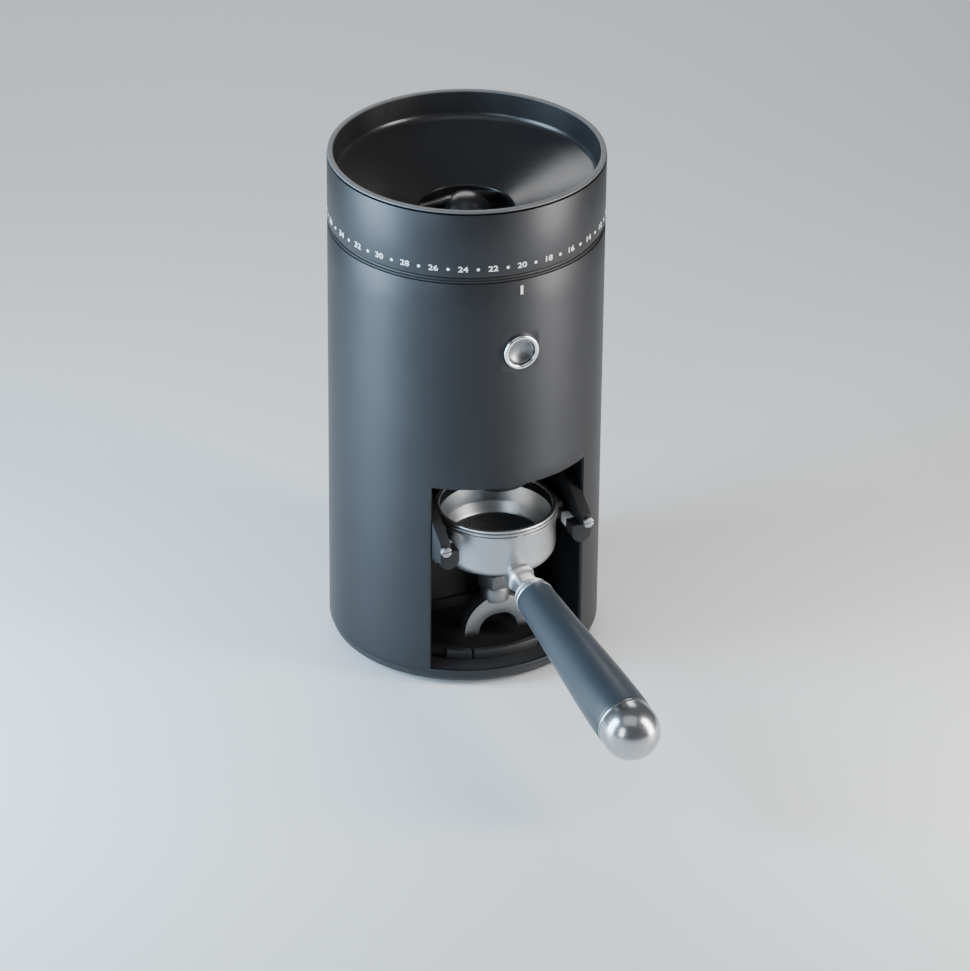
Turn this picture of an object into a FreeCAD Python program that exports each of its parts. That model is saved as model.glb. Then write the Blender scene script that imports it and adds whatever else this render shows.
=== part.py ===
"""Conical-hopper burr coffee grinder with a docked portafilter, one solid or group per sub-part.

Millimetres, +Z up. The origin is the centre of the underside and the front faces -Y.
"""
import FreeCAD, Part
import math
import os

from FreeCAD import Placement, Rotation, Vector

# ---------------------------------------------------------------- driving dimensions
SHELL_R = 75.0
SHELL_WALL = 2.0
SHELL_TOP = 250.5
TOTAL_HEIGHT = 293.0
EDGE_BREAK = 0.4

FOOT_R_IN, FOOT_R_OUT = 60.0, 66.0
FOOT_GROOVE = 2.0
BASE_UNDERSIDE = 2.4
BASE_R = 73.8
BASE_SEAM = 8.7
FLOOR_Z = 11.4

BAY_HALF = 45.0
BAY_WINDOW_HALF = 45.1
BAY_TOP = 126.0
BAY_BACK_Y = -2.2
LINER_WALL = 2.0
SKIRT_TOP = 18.0
LOCATOR_R_IN, LOCATOR_R_OUT, LOCATOR_TOP = 60.0, 63.5, 17.2
LOCATOR_HALF = 33.0
LOCATOR_SLOT_X, LOCATOR_SLOT_W = 19.7, 1.1

COLLAR_TOP = 253.0
COLLAR_R = 74.3
RING_BOTTOM, RING_TOP = 254.4, 291.0
RING_WALL = 2.4
LIP_BOTTOM = 292.0
FLANGE_HOLE_CIRCLE = 66.0
HUB_TOP, HUB_BOTTOM = 266.5, 255.8
ARM_WIDTH, ARM_ANGLE = 6.4, 30.0

ROD_R = 3.0
ROD_CIRCLE = (FOOT_R_IN + FOOT_R_OUT) / 2
ROD_ANGLES = (-27.0, 47.0, 133.0, 207.0)
ROD_PLACES = [(ROD_CIRCLE * math.cos(math.radians(a)), ROD_CIRCLE * math.sin(math.radians(a)))
              for a in ROD_ANGLES]
BASE_SCREW_SEAT = BASE_UNDERSIDE + FOOT_GROOVE + 2.0
DECK_Z0, DECK_Z1 = 194.0, 200.0

GEAR_MODULE = 1.0
GEAR_TEETH, PINION_TEETH = 48, 12
MOTOR_Y = GEAR_MODULE * (GEAR_TEETH + PINION_TEETH) / 2
PRESSURE_ANGLE = math.radians(20.0)
BACKLASH = 0.16
GEAR_Z0, GEAR_Z1 = 172.0, 182.0
PLATE_Z0, PLATE_Z1 = 158.0, 164.0

MOTOR_R, MOTOR_WALL = 26.0, 1.5
MOTOR_Z0 = 88.0
MOTOR_SHAFT_R = 3.0

SHAFT_R = 5.0
RUNNING_GAP = 0.05
BEARING_R, BEARING_W = 11.0, 7.0

CHAMBER_R, CHAMBER_BORE = 42.0, 36.0
CHAMBER_FLOOR, CHAMBER_TOP = 206.0, 248.0
BURR_R, BURR_BORE = 29.0, 13.0
LOWER_BURR_Z0, LOWER_BURR_Z1 = 216.0, 223.0
BURR_GAP = 0.9
BURR_TOOTH = 1.5
BURR_TEETH = 18
UPPER_BURR_Z1 = 231.0

CHUTE_Y = -45.0
CHUTE_R, CHUTE_BORE = 14.0, 12.0
SPOUT_R, SPOUT_BOTTOM = 20.0, 115.5

BUTTON_Z = 207.6
BUTTON_R, BUTTON_GUIDE_R, BEZEL_R = 7.3, 7.6, 10.0
SWITCH_FACE_Y = -66.0

FORK_HALF = 44.5
FORK_OPENING = 33.6
FORK_Z0, FORK_Z1 = 84.0, 91.2
ARM_INNER = 38.6
FORK_BACK_Y, FORK_BACK_THICKNESS = -5.9, 2.9

DOCK_Y = -44.0
CUP_R, CUP_BOTTOM, CUP_TOP = 33.0, 68.0, 97.2
FLANGE_R, FLANGE_Z0 = 34.3, 95.0
EAR_R, EAR_Z0 = 37.5, 91.5
BASKET_RIM_R, BASKET_TOP, BASKET_FLOOR = 33.6, 99.0, 75.6
SPOUT_ARCH_R, SPOUT_TUBE_R, SPOUT_ARCH_Z, SPOUT_TIP_Z = 14.0, 6.0, 21.8, 18.2
NUT_R, NUT_Z0, NUT_Z1 = 10.2, 48.0, 56.0
STEM_BORE = 4.5

HANDLE_TILT = 5.08
HANDLE_START = Vector(0, -90.7, 68.2)
GRIP_START, GRIP_END = 8.0, 125.5
GRIP_PROFILE = ((8.0, 10.8), (36.0, 12.0), (64.0, 13.5), (94.0, 15.1), (117.0, 15.95), (125.5, 15.95))
COLLAR_START = 0.5
ROD_END = GRIP_END + 3.0
BALL_R = 15.7
BALL_AT = 133.3

AXIS_Z = Vector(0, 0, 1)
ORIGIN = Vector(0, 0, 0)


# ---------------------------------------------------------------- shape helpers
def cyl(r, z0, z1, x=0.0, y=0.0):
    """An upright cylinder from z0 to z1 about the line through (x, y)."""
    return Part.makeCylinder(r, z1 - z0, Vector(x, y, z0))


def tube(r_out, r_in, z0, z1, x=0.0, y=0.0):
    """An upright tube."""
    return cyl(r_out, z0, z1, x, y).cut(cyl(r_in, z0 - 1, z1 + 1, x, y))


def box(x0, x1, y0, y1, z0, z1):
    """A box between two corners."""
    return Part.makeBox(x1 - x0, y1 - y0, z1 - z0, Vector(x0, y0, z0))


def turned(points, x=0.0, y=0.0):
    """A solid of revolution about the upright line through (x, y), from (radius, height) points."""
    outline = [Vector(x + r, y, z) for r, z in points]
    face = Part.Face(Part.makePolygon(outline + outline[:1]))
    return face.revolve(Vector(x, y, 0), AXIS_Z, 360)


def along_y(r, y0, y1, x, z):
    """A cylinder lying along Y."""
    return Part.makeCylinder(r, y1 - y0, Vector(x, y0, z), Vector(0, 1, 0))


def extruded(points, depth):
    """A prism from a closed list of vectors, swept by the vector depth."""
    return Part.Face(Part.makePolygon(list(points) + [points[0]])).extrude(depth)


def spun(shape, angle, x=0.0, y=0.0):
    """A copy turned by angle degrees about the upright line through (x, y)."""
    copy = shape.copy()
    copy.rotate(Vector(x, y, 0), AXIS_Z, angle)
    return copy


def ring_of(shape, count, start=0.0):
    """Copies of a shape, evenly turned about the machine's axis."""
    return [spun(shape, start + 360.0 * i / count) for i in range(count)]


def mirrored(shape):
    """A copy on the other side of the YZ plane."""
    return shape.mirror(ORIGIN, Vector(1, 0, 0))


def joined(shapes):
    """One solid from several that overlap or share faces."""
    shapes = list(shapes)
    return shapes[0].multiFuse(shapes[1:]).removeSplitter()


def group(shapes):
    """Separate solids in one node."""
    return Part.makeCompound([solid for shape in shapes for solid in shape.Solids])


def softened(shape, radius, wanted):
    """The shape with the edges that wanted(edge) picks rounded."""
    return shape.makeFillet(radius, [edge for edge in shape.Edges if wanted(edge)])


def pan_screw(x, y, z, length, r=1.6, head_r=3.0, head=2.0, up=True):
    """A pan-head screw: its head sits on height z and its shank runs away from the head."""
    way = 1 if up else -1
    shank = Part.makeCylinder(r, length, Vector(x, y, z), Vector(0, 0, -way))
    cap = Part.makeCylinder(head_r, head, Vector(x, y, z), Vector(0, 0, way))
    slot = box(x - head_r, x + head_r, y - 0.4, y + 0.4, 0, 0.9)
    slot.translate(Vector(0, 0, z + head - 0.8 if up else z - head - 0.1))
    return joined([shank, cap]).cut(slot)


def spur_gear(teeth, z0, z1, bore, x=0.0, y=0.0, turn=0.0):
    """A spur gear with involute flanks, thinned by the backlash, with a tooth centred on +X at turn 0."""
    pitch_r = GEAR_MODULE * teeth / 2
    base_r = pitch_r * math.cos(PRESSURE_ANGLE)
    tip_r = pitch_r + GEAR_MODULE
    root_r = pitch_r - 1.25 * GEAR_MODULE
    involute_at_pitch = math.tan(PRESSURE_ANGLE) - PRESSURE_ANGLE
    half_tooth = math.pi / (2 * teeth) - BACKLASH / (4 * pitch_r)

    def half_angle(r):
        if r <= base_r:
            return half_tooth + involute_at_pitch
        roll = math.acos(base_r / r)
        return half_tooth + involute_at_pitch - (math.tan(roll) - roll)

    flank_start = max(base_r, root_r + 0.01)
    radii = [flank_start + (tip_r - flank_start) * i / 3 for i in range(4)]
    outline = []
    for tooth in range(teeth):
        centre = 2 * math.pi * tooth / teeth + math.radians(turn)
        flank = [(root_r, half_angle(flank_start))] + [(r, half_angle(r)) for r in radii]
        for r, half in flank:
            outline.append((r, centre - half))
        for r, half in reversed(flank):
            outline.append((r, centre + half))
    points = [Vector(x + r * math.cos(a), y + r * math.sin(a), z0) for r, a in outline]
    return extruded(points, Vector(0, 0, z1 - z0)).cut(cyl(bore, z0 - 1, z1 + 1, x, y))


def ball_race(r_out, r_in, z0, z1):
    """A ball bearing with a groove between its races on both faces."""
    mid = (r_out + r_in) / 2
    grooves = [tube(mid + 1.2, mid - 1.2, z0 - 1, z0 + 1), tube(mid + 1.2, mid - 1.2, z1 - 1, z1 + 1)]
    return tube(r_out, r_in, z0, z1).cut(grooves[0]).cut(grooves[1])


# ---------------------------------------------------------------- housing
def foot_ring():
    return tube(FOOT_R_OUT, FOOT_R_IN, 0, BASE_UNDERSIDE + FOOT_GROOVE)


def base_plate():
    body = turned([
        (0, BASE_UNDERSIDE), (70.5, BASE_UNDERSIDE), (BASE_R, 5.0), (BASE_R, BASE_SEAM),
        (SHELL_R - SHELL_WALL, BASE_SEAM), (SHELL_R - SHELL_WALL, FLOOR_Z), (0, FLOOR_Z)])
    body = body.cut(tube(FOOT_R_OUT, FOOT_R_IN, BASE_UNDERSIDE - 1, BASE_UNDERSIDE + FOOT_GROOVE))
    for x, y in ROD_PLACES:
        body = body.cut(cyl(1.7, 0, FLOOR_Z + 1, x, y)).cut(cyl(2.9, 0, BASE_SCREW_SEAT, x, y))
    grips = [box(x - 1.6, x + 1.6, 18.2, 23.4, FLOOR_Z - 1, FLOOR_Z + 9) for x in (-24.0, 24.0)]
    slots = [box(x - 3, x + 3, 20.0, 21.6, FLOOR_Z + 2, FLOOR_Z + 12) for x in (-24.0, 24.0)]
    return joined([body] + grips).cut(slots[0]).cut(slots[1])


def base_screws():
    """The screws under the foot ring that hold the base to the frame rods."""
    return group(pan_screw(x, y, BASE_SCREW_SEAT, 12.0, 1.6, 2.8, 2.0, up=False) for x, y in ROD_PLACES)


def outer_shell():
    inner = SHELL_R - SHELL_WALL
    shell = tube(SHELL_R, inner, BASE_SEAM, SHELL_TOP)
    window = box(-BAY_WINDOW_HALF, BAY_WINDOW_HALF, -SHELL_R - 5, -20, FLOOR_Z, BAY_TOP - 0.2)
    shell = shell.cut(window).cut(along_y(BEZEL_R, -SHELL_R - 5, -60, 0, BUTTON_Z))
    shell = shell.cut(box(-15, 15, 60, SHELL_R + 5, 20, 46))

    def outside(edge):
        middle = edge.valueAt((edge.FirstParameter + edge.LastParameter) / 2)
        on_skin = abs(math.hypot(middle.x, middle.y) - SHELL_R) < 0.01
        return on_skin and edge.Length > 20 and (middle.y < 0 or middle.z > SHELL_TOP - 1)

    return softened(shell, EDGE_BREAK, outside)


def bay_liner():
    half, wall = BAY_HALF, LINER_WALL
    outside = box(-half - wall, half + wall, -SHELL_R, BAY_BACK_Y + wall, FLOOR_Z, BAY_TOP + wall)
    inside = box(-half, half, -SHELL_R - 5, BAY_BACK_Y, FLOOR_Z - 1, BAY_TOP)
    skirt = box(-half, half, BAY_BACK_Y - 2.8, BAY_BACK_Y, FLOOR_Z, SKIRT_TOP)
    liner = joined([outside.cut(inside), skirt])
    liner = liner.common(cyl(SHELL_R - SHELL_WALL, 0, 200))
    return liner.cut(cyl(SPOUT_R, 100, 140, 0, CHUTE_Y))


def cup_locator():
    wall = tube(LOCATOR_R_OUT, LOCATOR_R_IN, FLOOR_Z, LOCATOR_TOP)
    wall = wall.common(box(-LOCATOR_HALF, LOCATOR_HALF, -SHELL_R, 0, 0, 30))
    for x in (-LOCATOR_SLOT_X, LOCATOR_SLOT_X):
        wall = wall.cut(box(x - LOCATOR_SLOT_W / 2, x + LOCATOR_SLOT_W / 2, -SHELL_R, 0, 0, 30))
    return group([wall])


def top_collar():
    inner = SHELL_R - SHELL_WALL
    return turned([(61, 246.5), (inner, 246.5), (inner, SHELL_TOP), (COLLAR_R, SHELL_TOP),
                   (COLLAR_R, COLLAR_TOP), (61, COLLAR_TOP)])


def glide_ring():
    return tube(72.0, 66.5, COLLAR_TOP, RING_BOTTOM - 0.5)


def deck_plate():
    deck = cyl(SHELL_R - SHELL_WALL - 0.1, DECK_Z0, DECK_Z1)
    deck = joined([deck, cyl(BEARING_R + 3, DECK_Z0 - 3, DECK_Z0)])
    deck = deck.cut(cyl(BEARING_R, DECK_Z1 - BEARING_W, DECK_Z1 + 1)).cut(cyl(8, 180, DECK_Z1))
    deck = deck.cut(cyl(CHUTE_R + 0.1, 180, 210, 0, CHUTE_Y))
    deck = deck.cut(box(-CHUTE_R - 0.1, CHUTE_R + 0.1, -60.0, -37.9, 180, 210))
    deck = deck.cut(along_y(BEZEL_R + 2.8, -SHELL_R, -59.4, 0, BUTTON_Z))
    for x, y in ROD_PLACES:
        deck = deck.cut(cyl(1.7, 180, 210, x, y))
    return deck


def frame_rods():
    """Four uprights, tapped at both ends."""
    rods = []
    for x, y in ROD_PLACES:
        rod = cyl(ROD_R, FLOOR_Z, DECK_Z0, x, y)
        rod = rod.cut(cyl(1.6, FLOOR_Z - 1, FLOOR_Z + 9, x, y)).cut(cyl(1.6, DECK_Z0 - 9, DECK_Z0 + 1, x, y))
        rods.append(rod)
    return group(rods)


def frame_screws():
    """Ten alike screws: four hold the deck, four the grinding chamber and two the motor."""
    deck = [pan_screw(x, y, DECK_Z1, 14.0) for x, y in ROD_PLACES]
    chamber = ring_of(pan_screw(46, 0, DECK_Z1 + 3, 3.0), 4, 45)
    motor = [pan_screw(x, MOTOR_Y, PLATE_Z1, 9.0) for x in (-16.0, 16.0)]
    return group(deck + chamber + motor)


def stadium(r, z0, z1):
    """A rounded plate outline that holds the burr axis and the motor axis."""
    return joined([cyl(r, z0, z1), cyl(r, z0, z1, 0, MOTOR_Y), box(-r, r, 0, MOTOR_Y, z0, z1)])


def motor_plate():
    plate = stadium(29.5, PLATE_Z0, PLATE_Z1)
    plate = plate.cut(cyl(BEARING_R, PLATE_Z0 - 1, PLATE_Z1 + 1)).cut(cyl(5, 150, 170, 0, MOTOR_Y))
    for x in (-16.0, 16.0):
        plate = plate.cut(cyl(1.7, 150, 170, x, MOTOR_Y))
    return plate


def gear_cover():
    wall = stadium(29.5, PLATE_Z1, DECK_Z0).cut(stadium(27.2, PLATE_Z1 - 1, DECK_Z0 + 1))
    return wall.cut(cyl(BEARING_R + 3.2, DECK_Z0 - 4, DECK_Z0 + 1))


def motor_can():
    return tube(MOTOR_R, MOTOR_R - MOTOR_WALL, MOTOR_Z0 + 4, PLATE_Z0, 0, MOTOR_Y)


def motor_end_bell():
    boss = cyl(9, MOTOR_Z0 - 3, MOTOR_Z0, 0, MOTOR_Y)
    bell = joined([cyl(MOTOR_R, MOTOR_Z0, MOTOR_Z0 + 4, 0, MOTOR_Y), boss])
    bell = bell.cut(cyl(MOTOR_SHAFT_R + RUNNING_GAP, 80, 100, 0, MOTOR_Y))
    for angle in (60, 180, 300):
        vent = cyl(3.0, 80, 100, 17, MOTOR_Y)
        bell = bell.cut(spun(vent, angle, 0, MOTOR_Y))
    return bell


def motor_magnets():
    ring = tube(MOTOR_R - MOTOR_WALL, 21.3, 102, 150, 0, MOTOR_Y)
    keep = box(-40, 40, MOTOR_Y - 15, MOTOR_Y + 15, 0, 200)
    return group([ring.common(keep)])


def lower_bearing():
    return ball_race(BEARING_R, SHAFT_R + RUNNING_GAP, PLATE_Z0, PLATE_Z1)


def upper_bearing():
    return ball_race(BEARING_R, SHAFT_R + RUNNING_GAP, DECK_Z1 - BEARING_W, DECK_Z1)


def grind_chamber():
    chamber = turned([(5.5, DECK_Z1), (50.0, DECK_Z1), (50.0, DECK_Z1 + 3), (CHAMBER_R, DECK_Z1 + 3),
                      (CHAMBER_R, CHAMBER_TOP), (CHAMBER_BORE, CHAMBER_TOP),
                      (CHAMBER_BORE, CHAMBER_FLOOR), (5.5, CHAMBER_FLOOR)])
    chamber = chamber.cut(box(-9, 9, -45, -34, CHAMBER_FLOOR, CHAMBER_FLOOR + 18))
    chamber = chamber.cut(box(-16, 16, -60, -CHAMBER_R - 0.1, 190, 250))
    for lug in ring_of(cyl(1.7, 190, 210, 46, 0), 4, 45):
        chamber = chamber.cut(lug)
    return chamber


def grounds_chute():
    """The duct from the chamber's front port down to the bay, with a hood over the port."""
    top = CHAMBER_FLOOR + 22
    hood = box(-CHUTE_R, CHUTE_R, -59, -38, 186, top).cut(cyl(CHAMBER_R + 0.1, 180, 240))
    hood = hood.cut(box(-50, 50, -44, -20, DECK_Z1, DECK_Z1 + 3.2).common(tube(50.2, 20, 190, 210)))
    duct = cyl(CHUTE_R, BAY_TOP + LINER_WALL, 190, 0, CHUTE_Y)
    hollow = cyl(CHUTE_BORE, BAY_TOP, 188, 0, CHUTE_Y)
    port = box(-11, 11, -56.8, -40, 180, top - 2).common(box(-11, 11, -57, -CHAMBER_R, 180, top))
    return joined([hood, duct]).cut(hollow).cut(port)


def chute_spout():
    """The flared outlet that hangs from the bay's ceiling over the basket."""
    top, mouth = BAY_TOP + LINER_WALL, SPOUT_R - 4.5
    return turned([(CHUTE_BORE, top), (SPOUT_R, top), (SPOUT_R, SPOUT_BOTTOM + 4),
                   (SPOUT_R - 2.5, SPOUT_BOTTOM), (mouth, SPOUT_BOTTOM), (mouth, SPOUT_BOTTOM + 6)],
                  0, CHUTE_Y)


def control_board():
    return box(-28, 28, 20.0, 21.6, FLOOR_Z + 2, 74)


def board_parts():
    """Transformer, relay, two capacitors and a heat sink standing on the rear of the board."""
    back = 21.6
    return group([box(-22, -4, back, back + 14, 20, 40), box(6, 20, back, back + 12, 20, 34),
                  along_y(5.0, back, back + 16, -14, 52), along_y(5.0, back, back + 16, 0, 52),
                  box(10, 24, back, back + 9, 46, 66)])


def button_bezel():
    """The bright trim ring and the sleeve that guides the button."""
    front = -SHELL_R - 0.9
    ring = along_y(BEZEL_R, front, -66, 0, BUTTON_Z).cut(along_y(BUTTON_GUIDE_R, -90, -60, 0, BUTTON_Z))
    flange = along_y(BEZEL_R + 2.5, -71.8, -70.5, 0, BUTTON_Z).cut(
        along_y(BEZEL_R - 0.5, -90, -60, 0, BUTTON_Z))
    crown = Part.makeTorus(8.8, 1.2, Vector(0, front + 0.35, BUTTON_Z), Vector(0, 1, 0))
    return joined([ring, flange, crown.cut(along_y(BUTTON_GUIDE_R, -90, -60, 0, BUTTON_Z))])


def microswitch():
    carrier = along_y(BEZEL_R, SWITCH_FACE_Y, -64.5, 0, BUTTON_Z)
    case = box(-5, 5, -64.5, -59.6, BUTTON_Z - 6, BUTTON_Z + 6)
    plunger = along_y(1.2, -67.6, SWITCH_FACE_Y, 0, BUTTON_Z)
    return joined([carrier, case, plunger])


def start_button():
    """A shallow dished cap on a stem."""
    cap = along_y(BUTTON_R, -75.3, -72.0, 0, BUTTON_Z)
    stem = along_y(2.4, -72.0, -69.7, 0, BUTTON_Z)
    dish = Part.makeSphere(40.0, Vector(0, -75.3 - 39.2, BUTTON_Z))
    return joined([cap, stem]).cut(dish)


def button_bellows():
    """The rubber bellows that pushes the button back out."""
    skin = [(4.4, 0.0), (5.4, 0.0), (5.4, 0.8), (4.2, 1.9), (5.4, 3.0), (4.2, 4.1), (5.2, 5.2), (5.2, 5.9)]
    hollow = [(4.2, 5.9), (4.2, 5.4), (3.2, 4.1), (4.4, 3.0), (3.2, 1.9)]
    bellows = turned(skin + hollow)
    bellows.Placement = Placement(Vector(0, SWITCH_FACE_Y, BUTTON_Z), Rotation(Vector(1, 0, 0), 90))
    return bellows


def power_inlet():
    """A recessed two-pole appliance inlet in the rear of the shell."""
    case = box(-15, 15, 54, SHELL_R + 1, 20, 46).common(cyl(SHELL_R, 0, 100))
    recess = joined([box(-5, 5, 58, 80, 28, 38), along_y(5, 58, 80, -5, 33), along_y(5, 58, 80, 5, 33)])
    return case.cut(recess)


def inlet_pins():
    return group(along_y(1.2, 58, 67, x, 33) for x in (-4.3, 4.3))


def holder_rail():
    """The block on the bay's back wall whose two sockets take the fork's tongues."""
    block = box(-32, 32, FORK_BACK_Y + 0.3, BAY_BACK_Y, 82, 102)
    block = softened(block, 1.0, lambda e: abs(e.tangentAt(e.FirstParameter).y) > 0.9)
    for x in (-23.0, 23.0):
        block = block.cut(box(x - 5.5, x + 5.5, -8, -2.9, 87.5, 94.5))
    return block


# ---------------------------------------------------------------- adjusting head
def adjust_ring():
    ring = tube(SHELL_R, SHELL_R - RING_WALL, RING_BOTTOM, RING_TOP)
    return softened(ring, EDGE_BREAK, lambda e: e.Length > 2 * math.pi * SHELL_R - 1)


def funnel():
    """The hopper's turned form: rolled lip, steep wall, shallow cone and throat."""
    return turned([
        (SHELL_R - 0.7, LIP_BOTTOM), (SHELL_R - 0.3, LIP_BOTTOM + 0.3), (SHELL_R - 0.3, TOTAL_HEIGHT - 0.4),
        (SHELL_R - 0.7, TOTAL_HEIGHT), (72.1, TOTAL_HEIGHT), (71.8, TOTAL_HEIGHT - 0.4),
        (71.0, 281.5), (70.3, 278.6), (69.2, 277.2), (67.6, 276.4),
        (25.5, 258.6), (25.5, 246.5), (27.9, 246.5), (27.9, 257.0),
        (67.4, 273.6), (70.6, 275.2), (72.5, 278.6), (72.5, LIP_BOTTOM)])


def hopper():
    """The funnel with the three lugs that turn the upper burr's carrier."""
    lug = tube(27.9, 25.6, 242.5, 246.5).common(box(20, 35, -4, 4, 240, 250))
    return joined([funnel()] + ring_of(lug, 3))


def ring_flange():
    """The plate under the head that runs over the glide ring."""
    flange = tube(72.5, 61.0, RING_BOTTOM, RING_BOTTOM + 3)
    for hole in ring_of(cyl(1.5, 250, 260, FLANGE_HOLE_CIRCLE, 0), 6, 30):
        flange = flange.cut(hole)
    for sink in ring_of(cyl(2.8, 250, RING_BOTTOM + 1.6, FLANGE_HOLE_CIRCLE, 0), 6, 30):
        flange = flange.cut(sink)
    return flange


def ring_posts():
    """Six studs: each has a head under the flange and a post that carries the funnel."""
    seat = RING_BOTTOM + 1.6
    head = cyl(2.6, seat - 1.5, seat, FLANGE_HOLE_CIRCLE, 0)
    shank = cyl(1.4, seat, RING_BOTTOM + 3, FLANGE_HOLE_CIRCLE, 0)
    column = cyl(3.5, RING_BOTTOM + 3, 276.0, FLANGE_HOLE_CIRCLE, 0).cut(funnel())
    post = min(column.Solids, key=lambda solid: solid.BoundBox.ZMin)
    return group(ring_of(joined([head, shank, post]), 6, 30))


def hub_guard():
    """The finger guard: a domed hub on three arms that end on the wall of the funnel's throat."""
    hub = turned([(0, HUB_TOP), (4.5, HUB_TOP - 0.3), (7.5, HUB_TOP - 1.3), (11.0, HUB_TOP - 5.0),
                  (14.0, HUB_TOP - 9.2), (14.4, HUB_BOTTOM), (0, HUB_BOTTOM)])
    ridge = ((6.0, HUB_TOP - 1.7), (14.0, HUB_TOP - 3.9), (28.0, 257.2), (28.0, 253.5), (6.0, HUB_BOTTOM))
    arm = extruded([Vector(x, -ARM_WIDTH / 2, z) for x, z in ridge], Vector(0, ARM_WIDTH, 0))
    return joined([hub] + ring_of(arm, 3, ARM_ANGLE)).cut(funnel()).cut(tube(40, 25.5, 240, 258.6))


# ---------------------------------------------------------------- burrs
def burr_teeth(z0, up):
    """Saw-toothed ridges on one face of a burr, rooted slightly inside it."""
    way = 1 if up else -1
    tooth = ((-1.9, -0.2), (1.9, -0.2), (1.9, 0), (0.9, BURR_TOOTH), (0.3, BURR_TOOTH), (-1.9, 0))
    profile = [Vector(BURR_BORE + 1.5, y, z0 + way * h) for y, h in tooth]
    ridge = extruded(profile, Vector(BURR_R - BURR_BORE - 2.5, 0, 0))
    return ring_of(ridge, BURR_TEETH)


def burr_screw_spots():
    return [(21 * math.cos(math.radians(a)), 21 * math.sin(math.radians(a))) for a in (10, 130, 250)]


def upper_burr_carrier():
    carrier = turned([
        (14.5, UPPER_BURR_Z1), (CHAMBER_BORE - 0.08, UPPER_BURR_Z1), (CHAMBER_BORE - 0.08, 241.0),
        (32.0, 241.0), (32.0, 245.5), (22.5, 245.5), (14.5, 236.0)])
    for slot in ring_of(box(24, 34, -4.6, 4.6, 241.0, 250.0), 3):
        carrier = carrier.cut(slot)
    for x, y in burr_screw_spots():
        carrier = carrier.cut(cyl(1.6, 230, 239, x, y))
    return carrier


def upper_burr():
    face = LOWER_BURR_Z1 + BURR_GAP + BURR_TOOTH
    burr = joined([tube(BURR_R, BURR_BORE, face, UPPER_BURR_Z1)] + burr_teeth(face, up=False))
    for x, y in burr_screw_spots():
        burr = burr.cut(cyl(3.2, 220, face + 2.5, x, y)).cut(cyl(1.6, 220, 240, x, y))
    return burr


def upper_burr_screws():
    seat = LOWER_BURR_Z1 + BURR_GAP + BURR_TOOTH + 2.5
    return group(pan_screw(x, y, seat, 10.5, 1.6, 3.0, 1.8, up=False) for x, y in burr_screw_spots())


def drive_shaft():
    return joined([cyl(SHAFT_R, PLATE_Z0 + 0.5, LOWER_BURR_Z0 - 1.0), cyl(3.0, 200, 228.0)])


def lower_burr_carrier():
    """The turning disc with four sweeper blades at its rim."""
    disc = cyl(33.0, CHAMBER_FLOOR + 2.0, LOWER_BURR_Z0)
    blades = ring_of(box(31.0, 35.0, -1.2, 1.2, CHAMBER_FLOOR + 2.0, CHAMBER_FLOOR + 8.0), 4, 20)
    disc = joined([disc] + blades)
    for x, y in burr_screw_spots():
        disc = disc.cut(cyl(1.6, CHAMBER_FLOOR + 3, 220, x, y))
    return disc.cut(cyl(SHAFT_R, 200, LOWER_BURR_Z0 - 1.0)).cut(cyl(3.0, 200, 220))


def lower_burr():
    face = LOWER_BURR_Z1 - BURR_TOOTH
    burr = joined([tube(BURR_R, BURR_BORE, LOWER_BURR_Z0, face)] + burr_teeth(face, up=True))
    for x, y in burr_screw_spots():
        burr = burr.cut(cyl(3.2, face - 2.5, 230, x, y)).cut(cyl(1.6, 210, 230, x, y))
    return burr


def lower_burr_screws():
    face = LOWER_BURR_Z1 - BURR_TOOTH
    return group(pan_screw(x, y, face - 2.5, 9.5, 1.6, 3.0, 1.8) for x, y in burr_screw_spots())


def feed_auger():
    """The cone nut that holds the lower burr and pushes beans outwards with two fins."""
    cone = turned([(3.0, LOWER_BURR_Z0), (10.0, LOWER_BURR_Z0), (10.0, 221.0), (5.0, 229.0), (3.0, 229.0)])
    fins = ring_of(box(4.0, 11.8, -0.9, 0.9, LOWER_BURR_Z0 + 2, 226.0), 2, 35)
    return joined([cone] + fins)


def drive_gear():
    gear = spur_gear(GEAR_TEETH, GEAR_Z0, GEAR_Z1, SHAFT_R)
    hub = tube(9.0, SHAFT_R, GEAR_Z1, GEAR_Z1 + 3)
    gear = joined([gear, hub])
    for hole in ring_of(cyl(3.6, GEAR_Z0 - 1, GEAR_Z1 + 1, 15.0, 0), 6):
        gear = gear.cut(hole)
    return gear


# ---------------------------------------------------------------- motor rotor
def motor_shaft():
    return cyl(MOTOR_SHAFT_R, MOTOR_Z0 - 1, GEAR_Z1 + 3, 0, MOTOR_Y)


def motor_rotor():
    core = tube(20.0, MOTOR_SHAFT_R, 102, 148, 0, MOTOR_Y)
    slot = box(18.0, 21.0, -1.0, 1.0, 100, 150)
    slot.translate(Vector(0, MOTOR_Y, 0))
    for i in range(12):
        core = core.cut(spun(slot, 30.0 * i, 0, MOTOR_Y))
    commutator = tube(9.0, MOTOR_SHAFT_R, 94.5, 101.5, 0, MOTOR_Y)
    return group([core, commutator])


def motor_pinion():
    return spur_gear(PINION_TEETH, GEAR_Z0 - 2, GEAR_Z1 + 1, MOTOR_SHAFT_R, 0, MOTOR_Y,
                     turn=-90.0 + 180.0 / PINION_TEETH)


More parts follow.
